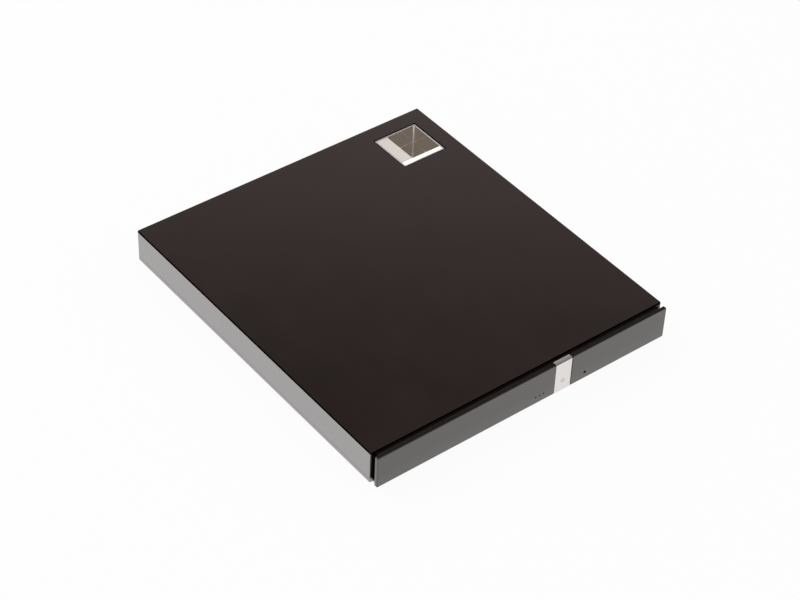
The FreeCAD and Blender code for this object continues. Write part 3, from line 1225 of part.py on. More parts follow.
def plug_nose(grow):
    half = PLUG_WIDTH / 2 - 2 + grow
    return block(PLUG_X - half, PLUG_X + half, Y_DRIVE_BACK - 3.8 - grow, Y_DRIVE_BACK + 2.2,
                 Z_SOCKETS + 0.7 - grow, Z_SOCKETS + SOCKET_HEIGHT - 0.7 + grow)


def drive_plug():
    half = PLUG_WIDTH / 2
    housing = block(PLUG_X - half, PLUG_X + half, Y_DRIVE_BACK - 6.9, Y_DRIVE_BACK + 1.8,
                    Z_SOCKETS, Z_SOCKETS + SOCKET_HEIGHT)
    return join(less(housing, plug_nose(0.15)), plug_tongue(0.0))


def bridge_socket():
    half = PLUG_WIDTH / 2
    body = block(PLUG_X - half, PLUG_X + half, Y_DRIVE_BACK + 2.0, Y_DRIVE_BACK + 9.6,
                 Z_SOCKETS, Z_SOCKETS + SOCKET_HEIGHT)
    return less(join(body, plug_nose(0.0)), plug_tongue(0.1))


def bridge_box():
    return PLUG_X - PLUG_WIDTH / 2 - 14.0, WELL_X0 - 6.8, Y_DRIVE_BACK + 3.6, Y_BACK - WALL - 0.9


def bridge_posts():
    x0, x1, y0, y1 = bridge_box()
    return [(x0 + 4, y1 - 4), (x1 - 4, y0 + 5)]


def bridge_board():
    x0, x1, y0, y1 = bridge_box()
    board = block(x0, x1, y0, y1, Z_SOCKETS - FLOOR, Z_SOCKETS)
    return less(board, *[screw_hole(x, y, Z_PAN, Z_SOCKETS) for x, y in bridge_posts()])


def bridge_chips():
    x0, x1, y0, y1 = bridge_box()
    middle = (y0 + y1) / 2
    packages = ((2.0, 8.0, 4.0, 1.2), (12.5, 5.0, -2.0, 1.0), (-14.0, 5.0, 4.0, 1.4), (22.0, 4.0, 5.0, 2.6))
    parts = []
    for x, wide, shift, tall in packages:
        y = middle + shift - wide / 2
        parts.append(block(x, x + wide, y, y + wide, Z_SOCKETS, Z_SOCKETS + tall))
    parts += [rod(2.0, x, middle - 5, Z_SOCKETS, Z_SOCKETS + 4.2) for x in (8.0, 20.0)]
    return group(parts)


def bridge_screws():
    return group(screw(x, y, Z_SOCKETS, BOARD_SCREW_HEAD + 0.1, 0.8, BOARD_SCREW_RADIUS, BOARD_SCREW_LENGTH)
                 for x, y in bridge_posts())


def usb_outline(grow, y0, y1):
    """The mini USB outline: a rectangle whose lower corners step in."""
    half, foot = USB_WIDTH / 2 + grow, USB_WIDTH / 2 - USB_STEP + grow
    z0, z1 = Z_SOCKETS + 0.02 - grow, Z_SOCKETS + USB_HEIGHT + grow
    corners = [(-half, z1), (-half, z0 + 1.6), (-foot, z0 + 0.8), (-foot, z0), (foot, z0), (foot, z0 + 0.8),
               (half, z0 + 1.6), (half, z1)]
    points = [V(USB_X + x, y0, z) for x, z in corners]
    return Part.Face(Part.makePolygon(points + points[:1])).extrude(V(0, y1 - y0, 0))


def usb_shell():
    y1 = Y_BACK - USB_INSET
    y0 = y1 - USB_LENGTH
    return less(usb_outline(0.0, y0, y1), usb_outline(-USB_SHEET, y0 + USB_BACK, y1))


def usb_tongue():
    y0 = Y_BACK - USB_INSET - USB_LENGTH + USB_BACK
    z = Z_SOCKETS + USB_HEIGHT
    x0, x1, top = USB_X - USB_TONGUE_HALF, USB_X + USB_TONGUE_HALF, z - USB_TONGUE
    blade = block(x0, x1, y0, Y_BACK - 1.2, top - USB_TONGUE, top)
    return join(blade, block(x0, x1, y0, y0 + 2, z - 2.8, top))


NODES = {
    "top_cover": top_cover,
    "bottom_cover": bottom_cover,
    "mirror_well": mirror_well,
    "rubber_feet": rubber_feet,
    "case_screws": case_screws,
    "drive_pan": drive_pan,
    "drive_lid": drive_lid,
    "chassis_screws": lambda: group(lid_screws().Solids + bridge_screws().Solids),
    "rail_guides": lambda: group([rail_guide(-1), rail_guide(1)]),
    "slide_rail_left": lambda: slide_rail(-1),
    "slide_rail_right": lambda: slide_rail(1),
    "disc_tray": disc_tray,
    "tray_bezel": tray_bezel,
    "eject_button": eject_button,
    "base_plate": base_plate,
    "tray_screws": lambda: group(tray_screws().Solids + deck_screws().Solids + damper_screws().Solids),
    "traverse_frame": traverse_frame,
    "deck_cover": deck_cover,
    "damper_grommets": damper_grommets,
    "guide_rods": guide_rods,
    "stepper_motor": stepper_motor,
    "lead_screw": lead_screw,
    "motor_board": motor_board,
    "bearing_sleeve": bearing_sleeve,
    "motor_stator": motor_stator,
    "rotor_bell": rotor_bell,
    "rotor_magnet": rotor_magnet,
    "spindle_shaft": spindle_shaft,
    "turntable_pad": turntable_pad,
    "chuck_hub": chuck_hub,
    "chuck_claw_1": lambda: chuck_claw(0),
    "chuck_claw_2": lambda: chuck_claw(1),
    "chuck_claw_3": lambda: chuck_claw(2),
    "pickup_sled": pickup_sled,
    "actuator_magnets": actuator_magnets,
    "lens_holder": lens_holder,
    "objective_lenses": objective_lenses,
    "feed_nut": feed_nut,
    "striker_pin": striker_pin,
    "latch_lever": latch_lever,
    "latch_pivot": latch_pivot,
    "latch_spring": latch_spring,
    "solenoid_frame": solenoid_frame,
    "solenoid_coil": solenoid_coil,
    "solenoid_plunger": solenoid_plunger,
    "ejector_plunger": ejector_plunger,
    "ejector_spring": ejector_spring,
    "front_board": front_board,
    "eject_switch": eject_switch,
    "indicator_light": lambda: group([indicator_lamp(), light_guide()]),
    "main_board": main_board,
    "main_board_chips": lambda: group(main_board_chips().Solids + [main_ribbon_socket()]),
    "flex_ribbon": flex_ribbon,
    "connector_board": connector_board,
    "drive_plug": lambda: group([drive_plug(), ribbon_socket()]),
    "bridge_board": bridge_board,
    "bridge_socket": bridge_socket,
    "bridge_chips": bridge_chips,
    "usb_shell": usb_shell,
    "usb_tongue": usb_tongue,
}


def main():
    os.makedirs("parts", exist_ok=True)
    for name, make in NODES.items():
        shape = make()
        if not shape.isValid():
            raise RuntimeError(name + " is not a valid solid")
        shape.exportStep(os.path.join("parts", name + ".step"))
        print(name, len(shape.Solids), round(shape.Volume, 1))


main()
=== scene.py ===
"""Visual model of a slim external disc burner, laid out as an add-on and run as a script.

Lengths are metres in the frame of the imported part: +Z up, the tray bezel faces -Y.
"""
import json
import math

import bmesh
import bpy
import numpy as np
from bpy.props import FloatProperty, FloatVectorProperty, PointerProperty
from mathutils import Matrix, Vector


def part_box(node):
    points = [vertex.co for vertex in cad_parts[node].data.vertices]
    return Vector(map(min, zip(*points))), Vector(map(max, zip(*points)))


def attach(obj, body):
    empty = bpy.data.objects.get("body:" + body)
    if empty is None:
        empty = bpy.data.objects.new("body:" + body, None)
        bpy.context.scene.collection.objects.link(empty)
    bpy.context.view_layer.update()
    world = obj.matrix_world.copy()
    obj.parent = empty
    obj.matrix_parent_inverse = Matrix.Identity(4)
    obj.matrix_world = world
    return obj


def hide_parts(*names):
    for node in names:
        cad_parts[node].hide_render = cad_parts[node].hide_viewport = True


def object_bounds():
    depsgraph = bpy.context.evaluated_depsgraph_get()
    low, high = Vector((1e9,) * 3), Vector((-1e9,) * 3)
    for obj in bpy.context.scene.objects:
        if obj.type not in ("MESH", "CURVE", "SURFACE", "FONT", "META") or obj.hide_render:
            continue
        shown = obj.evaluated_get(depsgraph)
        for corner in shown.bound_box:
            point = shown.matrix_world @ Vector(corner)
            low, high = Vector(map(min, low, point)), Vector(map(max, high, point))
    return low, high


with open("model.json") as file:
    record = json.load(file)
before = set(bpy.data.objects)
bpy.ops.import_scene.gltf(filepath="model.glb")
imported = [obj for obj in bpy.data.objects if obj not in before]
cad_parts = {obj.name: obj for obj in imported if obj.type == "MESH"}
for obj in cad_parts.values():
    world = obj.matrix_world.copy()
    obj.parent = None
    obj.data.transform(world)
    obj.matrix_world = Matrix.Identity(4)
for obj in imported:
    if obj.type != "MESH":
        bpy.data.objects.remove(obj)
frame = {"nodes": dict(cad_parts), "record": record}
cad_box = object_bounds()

bl_info = {
    "name": "Slim disc burner",
    "version": (1, 0, 0),
    "blender": (4, 5, 0),
    "location": "3D View > Sidebar > Burner",
    "description": "Finishes, fine pieces and studio for a slim external disc burner",
    "category": "Object",
}

# The pickup's rods and its lead screw run at this angle to X, on the traverse that turns about the spindle
TRAVERSE_TURN = math.radians(225)
HUB = sum(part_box("spindle_shaft"), Vector()) / 2

# The flange that holds the mirror well under the roof, at its front and on its other three sides
WELL_FRONT_FLANGE, WELL_FLANGE = 0.0005, 0.0007


# Sizes and colours that a user would change

def length(default, name, words):
    return FloatProperty(name=name, description=words, default=default, unit="LENGTH",
                         subtype="DISTANCE", precision=5)


def colour(default, name, words):
    return FloatVectorProperty(name=name, description=words, default=default, subtype="COLOR",
                               size=3, min=0.0, max=1.0)


def power(default, name, words):
    return FloatProperty(name=name, description=words + ", in watts", default=default, unit="POWER",
                         precision=4)


class BurnerSizes(bpy.types.PropertyGroup):
    """Sizes of the pieces made here."""

    rim_round: length(0.00028, "Well rim rounding", "Radius on both edges of the mirror well's rim")
    rim_width: length(0.0006, "Well rim width", "Thickness of the mirror well's wall at the roof")
    well_fillet: length(0.00005, "Well floor fillet", "Radius between the well's walls and its floor")
    foot_round: length(0.0005, "Foot rounding", "Radius along a rubber foot's lower edge")
    bell_round: length(0.0003, "Bell rounding", "Radius of the motor bell's shoulder")
    button_round: length(0.0003, "Button front rounding", "Radius along the button's two long front edges")
    button_end: length(0.0002, "Button end rounding", "Radius round the button's left and right ends")
    dimple_radius: length(0.0011, "Dimple radius", "Radius of the finger mark in the button")
    dimple_depth: length(0.00024, "Dimple depth", "Depth of the finger mark in the button")
    dimple_height: length(0.0066, "Dimple height", "Height of the finger mark's middle over the ground")
    spring_wire: length(0.00036, "Spring wire", "Wire diameter of the latch and ejector springs")
    thread_depth: length(0.00028, "Thread depth", "Depth of the lead screw's groove")
    thread_lead: length(0.003, "Thread lead", "Travel of the pickup for one turn of the lead screw")


class BurnerColours(bpy.types.PropertyGroup):
    """Base colours of the finishes."""

    shell: colour((0.0040, 0.0026, 0.0025), "Shell", "Black moulding of the two covers")
    bezel: colour((0.0150, 0.0125, 0.0118), "Bezel", "Black moulding of the tray bezel")
    chrome: colour((0.93, 0.89, 0.86), "Mirror", "Plated lining of the well")
    button: colour((0.78, 0.74, 0.72), "Button", "Silver paint of the eject button")
    tray: colour((0.020, 0.020, 0.021), "Tray", "Textured moulding of the disc tray")
    board: colour((0.012, 0.11, 0.045), "Board", "Solder mask of the circuit boards")
    zinc: colour((0.58, 0.60, 0.62), "Zinc sheet", "Coated sheet of the drive chassis")


class BurnerStudio(bpy.types.PropertyGroup):
    """The camera and the lights."""

    lens: FloatProperty(name="Lens", description="Focal length for a 36 mm sensor", default=103.09,
                        unit="CAMERA")
    key: power(10.0, "Key light", "Power of the softbox behind on the left")
    fill: power(5.0, "Fill light", "Power of the softbox in front on the right")
    top: power(10.0, "Top light", "Power of the softbox overhead")
    card: power(0.0021, "Card light", "Power of the small card behind on the right")
    sky: FloatProperty(name="Sky", description="Strength of the surrounding light", default=1.0)


# Surfaces

def grid_faces(rows, columns):
    """Quads between neighbouring rows of a grid whose columns close on themselves."""
    row, column = np.meshgrid(np.arange(rows - 1), np.arange(columns), indexing="ij")
    right = (column + 1) % columns
    return np.stack([row * columns + column, row * columns + right, (row + 1) * columns + right,
                     (row + 1) * columns + column], -1).reshape(-1, 4).tolist()


def skin(loops):
    """Points and faces through a stack of closed loops (levels, points, 3), both ends closed by one face."""
    levels, count = loops.shape[:2]
    faces = grid_faces(levels, count)
    faces.append(list(range(count))[::-1])
    faces.append(list(range((levels - 1) * count, levels * count)))
    return loops.reshape(-1, 3), faces


def gather(parts):
    """One list of points and faces out of several."""
    points, faces, start = [], [], 0
    for some_points, some_faces in parts:
        points.append(some_points)
        faces += [[start + corner for corner in face] for face in some_faces]
        start += len(some_points)
    return np.concatenate(points), faces


def add_piece(name, points, faces, body, slot, stands_for=None, sharp=32.0):
    """Put a surface into a mesh, close its seams and poles, turn its faces outwards, ride it on its body."""
    same_place, no_length = 2e-7, 1e-7
    mesh = bpy.data.meshes.new(name)
    mesh.from_pydata(np.asarray(points, float).tolist(), [], faces)
    solid = bmesh.new()
    solid.from_mesh(mesh)
    bmesh.ops.remove_doubles(solid, verts=solid.verts, dist=same_place)
    bmesh.ops.dissolve_degenerate(solid, edges=solid.edges, dist=no_length)
    bmesh.ops.recalc_face_normals(solid, faces=solid.faces)
    solid.to_mesh(mesh)
    solid.free()
    mesh.shade_smooth()
    mesh.set_sharp_from_angle(angle=math.radians(sharp))
    mesh.materials.append(bpy.data.materials[slot])
    piece = bpy.data.objects.new(name, mesh)
    bpy.context.scene.collection.objects.link(piece)
    flats = piece.modifiers.new("Flats stay flat", "WEIGHTED_NORMAL")
    flats.mode, flats.keep_sharp, flats.weight = "FACE_AREA", True, 50
    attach(piece, body)
    if stands_for:
        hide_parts(stands_for)


def arc(start, end, steps):
    """Angles from start to end in degrees, both included, in radians."""
    return np.radians(np.linspace(start, end, steps + 1))


def circle(sides):
    """Angles of a full turn in equal steps, the start not repeated."""
    return arc(0, 360, sides)[:-1]


def rounded_loop(half_x, half_y, radius, steps):
    """Outline of a rectangle whose corners are arcs: corner centre plus radius times (cos t, sin t)."""
    angles = np.radians(90) * (np.arange(4)[:, None] + np.linspace(0.0, 1.0, steps + 1)[None])
    centre_x = np.array([1, -1, -1, 1])[:, None] * (half_x - radius)
    centre_y = np.array([1, 1, -1, -1])[:, None] * (half_y - radius)
    points = np.stack([centre_x + radius * np.cos(angles), centre_y + radius * np.sin(angles)], -1)
    return points.reshape(-1, 2)


def bent_tube(path, axis, radius):
    """A round tube on a path that never runs along axis: p + radius (cos t e1 + sin t e2), with e1 and e2
    square to the path."""
    along = np.gradient(path, axis=0)
    along /= np.linalg.norm(along, axis=1)[:, None]
    first = np.cross(along, axis)
    first /= np.linalg.norm(first, axis=1)[:, None]
    second = np.cross(along, first)
    turn = circle(10)[None, :, None]
    return path[:, None] + radius * (np.cos(turn) * first[:, None] + np.sin(turn) * second[:, None])


def well_rim():
    """Middle and half size, in X and Y, of the mirror well's outer wall inside its flange."""
    low, high = (np.array(corner)[:2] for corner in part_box("mirror_well"))
    low, high = low + (WELL_FLANGE, WELL_FRONT_FLANGE), high - WELL_FLANGE
    return (low + high) / 2, (high - low) / 2


def islands(node):
    """The separate solids of a CAD node, each as an array of its corner points."""
    merged = bmesh.new()
    merged.from_mesh(frame["nodes"][node].data)
    bmesh.ops.remove_doubles(merged, verts=merged.verts, dist=1e-6)
    seen, found = set(), []
    for seed in merged.verts:
        if seed in seen:
            continue
        stack, members = [seed], []
        seen.add(seed)
        while stack:
            vertex = stack.pop()
            members.append(vertex.co[:])
            for edge in vertex.link_edges:
                other = edge.other_vert(vertex)
                if other not in seen:
                    seen.add(other)
                    stack.append(other)
        found.append(np.array(members))
    merged.free()
    return found


# Materials

class Nodes:
    """A node tree in the making."""

    def __init__(self, tree):
        self.tree = tree

    def set(self, node, values):
        """Give each input, by name or by number, its number, colour or link."""
        for key, value in values.items():
            socket = node.inputs[key]
            if isinstance(value, bpy.types.NodeSocket):
                self.tree.links.new(value, socket)
            else:
                socket.default_value = value

    def node(self, kind, values=None, **settings):
        """Add a node with its settings and inputs."""
        made = self.tree.nodes.new(kind)
        for key, value in settings.items():
            setattr(made, key, value)
        self.set(made, values or {})
        return made

    def math(self, operation, first, second=0.0):
        return self.node("ShaderNodeMath", {0: first, 1: second}, operation=operation).outputs["Value"]

    def mix(self, share, first, second):
        """One shader turning into another."""
        return self.node("ShaderNodeMixShader", {0: share, 1: first, 2: second}).outputs["Shader"]


class Finish(Nodes):
    """A material: one Principled shader and the patterns that steer it."""

    def __init__(self, name, base, roughness, metallic=0.0, **fixed):
        self.material = bpy.data.materials.new(name)
        self.material.use_nodes = True
        super().__init__(self.material.node_tree)
        self.shader = self.tree.nodes["Principled BSDF"]
        self.base = np.array(base)
        self.set(self.shader, {"Base Color": (*base, 1.0), "Roughness": roughness, "Metallic": metallic})
        self.use(**fixed)
        self.coordinates = self.node("ShaderNodeTexCoord").outputs["Object"]

    def use(self, **sockets):
        """Set or link the shader's inputs, whose names are written with underscores."""
        self.set(self.shader, {key.replace("_", " "): value for key, value in sockets.items()})
        return self.material

    def place(self, scale, turn=(0, 0, 0)):
        """Object coordinates, turned and stretched for a pattern that has a direction."""
        return self.node("ShaderNodeMapping", {"Vector": self.coordinates, "Scale": scale,
                                               "Rotation": turn}).outputs["Vector"]

    def axis(self, letter):
        return self.node("ShaderNodeSeparateXYZ", {"Vector": self.coordinates}).outputs[letter]

    def past(self, letter, level):
        """One where the coordinate is over the level, nought elsewhere."""
        return self.math("GREATER_THAN", self.axis(letter), level)

    def short(self, letter, level):
        """One where the coordinate is under the level, nought elsewhere."""
        return self.math("LESS_THAN", self.axis(letter), level)

    def off(self, letter, level):
        """How far the coordinate is from the level, on either side."""
        return self.math("ABSOLUTE", self.math("SUBTRACT", self.axis(letter), level))

    def noise(self, size, detail=3.0, rough=0.55, where=None):
        """Soft noise whose lumps are about size metres across."""
        return self.node("ShaderNodeTexNoise", {"Vector": where or self.coordinates, "Scale": 1.0 / size,
                                                "Detail": detail, "Roughness": rough}).outputs["Fac"]

    def cells(self, size, output="Distance", feature="F1", random=1.0, distance="EUCLIDEAN"):
        """A net of cells about size metres across."""
        return self.node("ShaderNodeTexVoronoi", {"Vector": self.coordinates, "Scale": 1.0 / size,
                                                  "Randomness": random}, feature=feature,
                         distance=distance).outputs[output]

    def remap(self, value, low, high, new_low=0.0, new_high=1.0, smooth=False):
        """Low to high becomes new_low to new_high, with nothing beyond them."""
        ends = {"Value": value, "From Min": low, "From Max": high, "To Min": new_low, "To Max": new_high}
        kind = "SMOOTHSTEP" if smooth else "LINEAR"
        return self.node("ShaderNodeMapRange", ends, interpolation_type=kind).outputs["Result"]

    def blend(self, factor, first, second):
        """Mix two colours, each a triple or a socket."""
        first, second = (value if isinstance(value, bpy.types.NodeSocket) else (*value, 1.0)
                         for value in (first, second))
        return self.node("ShaderNodeMix", {0: factor, 6: first, 7: second}, data_type="RGBA").outputs[2]

    def tone(self, share):
        """The finish's own colour, multiplied."""
        return np.clip(self.base * share, 0, 1)

    def shade(self, factor, darker, lighter):
        """Base colour between two multiples of the finish's own colour."""
        return self.blend(factor, self.tone(darker), self.tone(lighter))

    def relief(self, height, depth, below=None):
        """Bump of the given depth in metres, on top of another bump."""
        under = {} if below is None else {"Normal": below}
        return self.node("ShaderNodeBump", {"Height": height, "Distance": depth, "Strength": 1.0,
                                            **under}).outputs["Normal"]


def moulded(name, base, roughness, grain, depth, mottle, spread=0.08, **fixed):
    """Injection-moulded plastic: spark-eroded grain, cloudy gloss and a slight drift of colour."""
    made = Finish(name, base, roughness, **fixed)
    fine = made.noise(grain, detail=4.0, rough=0.6)
    cloud = made.noise(0.009, detail=4.0, rough=0.6)
    rubbed = made.noise(0.0016, detail=2.0, where=made.place(scale=(1.0, 0.25, 1.0)))
    gloss = made.math("ADD", made.remap(cloud, 0.3, 0.7, roughness - spread, roughness + spread),
                      made.remap(rubbed, 0.5, 0.8, 0.0, spread * 0.8))
    return made.use(Base_Color=made.shade(made.remap(cloud, 0.3, 0.7), 1 - mottle, 1 + mottle),
                    Roughness=gloss, Normal=made.relief(fine, depth))


def shell_finish(name, base):
    """Black casing: even gloss with faint wiping marks, a clear coat on the upright walls only, and painted
    shade at the roof's left and front edges and round the well: a band of matt, near-black metal colour."""
    low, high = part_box("top_cover")
    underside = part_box("bottom_cover")[0].z
    edge_width, edge_height, groove_floor, outline = 0.00028, 0.00075, 0.0004, 0.0005
    made = Finish(name, base, 0.2, IOR=1.5, Specular_Tint=(1.0, 0.66, 0.6, 1.0), Coat_Roughness=0.12,
                  Coat_IOR=3.0)
    roof = made.past("Z", high.z - edge_height)
    front = made.short("Y", low.y + edge_width)
    left = made.short("X", low.x + edge_width)
    # Painted shade: a band round the well's mouth and at the roof's left and front edges of the roof.
    well_shade_distance = made.math("MAXIMUM", *(made.math("SUBTRACT", made.off(letter, middle), half + outline)
                                       for letter, middle, half in zip("XY", *well_rim())))
    painted_shade_band = made.math("MAXIMUM", made.math("MAXIMUM", left, front), made.math("LESS_THAN", well_shade_distance, 0.0))
    edge = made.math("MULTIPLY", painted_shade_band, roof)
    groove = made.math("MULTIPLY", front, made.past("Z", low.z + groove_floor))
    coat = made.math("SUBTRACT", made.past("Z", underside + 0.00005), made.math("MAXIMUM", roof, groove))
    cloud = made.noise(0.02, detail=3.0, rough=0.5)
    wiped = made.noise(0.003, detail=4.0, where=made.place(scale=(1.0, 0.12, 1.0), turn=(0, 0, 0.5)))
    gloss = made.math("ADD", made.remap(cloud, 0.3, 0.7, 0.19, 0.21), made.remap(wiped, 0.5, 0.8, 0.0, 0.02))
    tone = made.shade(made.remap(cloud, 0.3, 0.7), 0.92, 1.08)
    # Where the painted shade band falls, the colour is near black, metallic and matt.
    return made.use(Base_Color=made.blend(edge, tone, (0.0005, 0.0004, 0.0004)), Metallic=edge,
                    Roughness=made.math("MAXIMUM", gloss, edge), Coat_Weight=coat,
                    Normal=made.relief(made.noise(0.0003, detail=4.0, rough=0.6), 0.0000006))


def bezel_finish(name, base):
    """Gloss black bezel: a clear coat that thins towards its upper edge and leaves its top bare, over a fine
    grain. Its bare top carries painted shade: a dark metallic colour in place of the moulding's own."""
    made = Finish(name, base, 0.22, IOR=1.68, Specular_Tint=(1.0, 0.92, 0.88, 1.0), Coat_Roughness=0.1,
                  Coat_IOR=1.55)
    # Painted shade on the top face: a dark metallic colour without coat.
    edge_height = 0.00018
    top = made.past("Z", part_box("tray_bezel")[1].z - edge_height)
    cloud = made.noise(0.009, detail=3.0)
    wiped = made.noise(0.0016, detail=4.0, where=made.place(scale=(0.2, 1.0, 1.0)))
    tone = made.shade(made.remap(cloud, 0.3, 0.7), 0.94, 1.06)
    gloss = made.math("ADD", made.remap(cloud, 0.3, 0.7, 0.2, 0.24), made.remap(wiped, 0.5, 0.8, 0.0, 0.03))
    coat = made.remap(made.axis("Z"), 0.002, 0.009, 0.62, 0.45, smooth=True)
    return made.use(Base_Color=made.blend(top, tone, (0.03, 0.026, 0.024)), Metallic=top, Roughness=gloss,
                    Coat_Weight=made.math("MULTIPLY", made.math("SUBTRACT", 1.0, top), coat),
                    Normal=made.relief(made.noise(0.0004, detail=3.0), 0.0000008))


def brushed(name, base, roughness, direction, size=0.00006, depth=0.000004):
    """Metal drawn or brushed along one direction: noise stretched along it steers tint, gloss and relief."""
    made = Finish(name, base, roughness, 1.0)
    stretch = tuple(0.02 if part else 1.0 for part in direction)
    lines = made.noise(size, detail=3.0, where=made.place(scale=stretch))
    stain = made.noise(0.004, detail=5.0)
    tint = made.math("MULTIPLY", lines, made.remap(stain, 0.25, 0.7, 0.6, 1.3))
    gloss = made.math("ADD", made.remap(lines, 0.3, 0.7, roughness - 0.07, roughness + 0.08),
                      made.remap(stain, 0.5, 0.75, 0.0, 0.1))
    return made.use(Base_Color=made.shade(tint, 0.7, 1.15), Roughness=gloss, Normal=made.relief(lines, depth))


def spangled(name, base, roughness):
    """Zinc-coated sheet: crystals of a few millimetres, each with its own tint and gloss, under rolling
    lines."""
    made = Finish(name, base, roughness, 1.0)
    crystal = 0.0032
    tone = made.node("ShaderNodeSeparateColor", {"Color": made.cells(crystal, "Color")})
    lines = made.noise(0.00008, detail=2.0, where=made.place(scale=(1.0, 0.02, 1.0)))
    scratch = made.noise(0.0004, detail=6.0, where=made.place(scale=(1.0, 0.06, 1.0), turn=(0, 0, 0.5)))
    tint = made.math("MULTIPLY", tone.outputs["Red"], made.remap(lines, 0.3, 0.7, 0.7, 1.2))
    gloss = made.math("ADD", made.remap(tone.outputs["Green"], 0.0, 1.0, roughness - 0.06, roughness + 0.08),
                      made.remap(scratch, 0.6, 0.8, 0.0, 0.14))
    borders = made.relief(made.cells(crystal, feature="DISTANCE_TO_EDGE"), 0.000004)
    return made.use(Base_Color=made.shade(tint, 0.82, 1.12), Roughness=gloss,
                    Normal=made.relief(lines, 0.000003, borders))


def board_finish(name, base):
    """Circuit board: solder mask over copper runs at right angles, with round tinned pads."""
    made = Finish(name, base, 0.3, Coat_Weight=0.4, Coat_Roughness=0.15)
    runs = made.cells(0.0011, feature="DISTANCE_TO_EDGE", distance="MANHATTAN", random=0.75)
    copper = made.remap(runs, 0.05, 0.11, smooth=True)
    pads = made.remap(made.cells(0.0021, random=0.6), 0.15, 0.17, 1.0, 0.0)
    fibre = made.noise(0.00025, detail=2.0)
    mask = made.blend(made.math("MULTIPLY", fibre, 0.35), made.shade(copper, 1.9, 1.0), made.tone(0.4))
    return made.use(Base_Color=made.blend(pads, mask, (0.62, 0.6, 0.55)), Metallic=pads,
                    Normal=made.relief(copper, 0.00002, made.relief(fibre, 0.000004)))


def ribbon_finish(name, base):
    """Flat flexible cable: white film with its tinned conductors showing through as close grey stripes."""
    made = Finish(name, base, 0.35, Coat_Weight=0.2)
    pitch = 0.001
    across = made.math("MULTIPLY", made.axis("X"), 2 * math.pi / pitch)
    stripe = made.remap(made.math("SINE", across), -0.2, 0.3, smooth=True)
    film = made.noise(0.003, detail=3.0)
    return made.use(Base_Color=made.blend(made.math("MULTIPLY", stripe, 0.55), base, (0.42, 0.44, 0.47)),
                    Roughness=made.remap(film, 0.3, 0.7, 0.28, 0.45), Normal=made.relief(stripe, 0.00002))


def wound_finish(name, base, pitch):
    """Enamelled wire laid side by side round the coil: a sine across the turns for height and for painted
    shade, which darkens the grooves between the turns.
    """
    made = Finish(name, base, 0.3, 1.0, Coat_Weight=0.5, Coat_Roughness=0.2)
    turn = made.math("SINE", made.math("MULTIPLY", made.axis("X"), 2 * math.pi / pitch))
    drift = made.remap(made.noise(0.0006, detail=3.0), 0.3, 0.7, 0.8, 1.1)
    # Painted shade: the colour falls towards 0.3 of the copper's in the grooves between the turns.
    tint = made.math("MULTIPLY", made.remap(turn, -1, 0.6), drift)
    return made.use(Base_Color=made.shade(tint, 0.3, 1.1), Normal=made.relief(turn, pitch / 4))


def chip_finish(name, base):
    """Moulded chip case: matt resin full of fine sparkle from its filler."""
    made = Finish(name, base, 0.55)
    dust = made.cells(0.00012)
    return made.use(Base_Color=made.shade(made.remap(dust, 0.0, 0.25), 2.2, 0.9),
                    Roughness=made.remap(made.noise(0.0008, detail=4.0), 0.3, 0.7, 0.42, 0.62),
                    Normal=made.relief(made.noise(0.00007, detail=4.0), 0.00001))


def mirror_finish(name, base):
    """Bright plating: hard mirror with the long waves of the moulding under it and wiping marks, satin in its
    corners, and rougher on its rim, whose colour is darkened there as painted shade."""
    made = Finish(name, base, 0.03, 1.0)
    low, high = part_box("mirror_well")
    rim_height, satin = 0.00035, (0.0018, 0.0019)
    wave = made.noise(0.009, detail=1.0)
    wiped = made.noise(0.0022, detail=5.0, where=made.place(scale=(0.35, 1.0, 1.0), turn=(0, 0, 0.7)))
    middle, half = (low + high) / 2, (high - low) / 2
    near = [made.math("GREATER_THAN", made.off(letter, middle[axis]), half[axis] - satin[axis])
            for axis, letter in enumerate("XY")]
    corner = made.math("MULTIPLY", *near)
    # Painted shade on the rim: its colour falls to 0.45 of the plating's; it is rougher there too.
    rim = made.past("Z", high.z - rim_height)
    dull = made.math("MAXIMUM", made.math("MULTIPLY", corner, 0.38), made.math("MULTIPLY", rim, 0.3))
    plain = made.shade(made.remap(wiped, 0.4, 0.75), 1.02, 0.97)
    return made.use(Roughness=made.math("MAXIMUM", made.remap(wiped, 0.45, 0.8, 0.02, 0.07), dull),
                    Base_Color=made.blend(rim, plain, made.tone(0.45)), Normal=made.relief(wave, 0.000002))


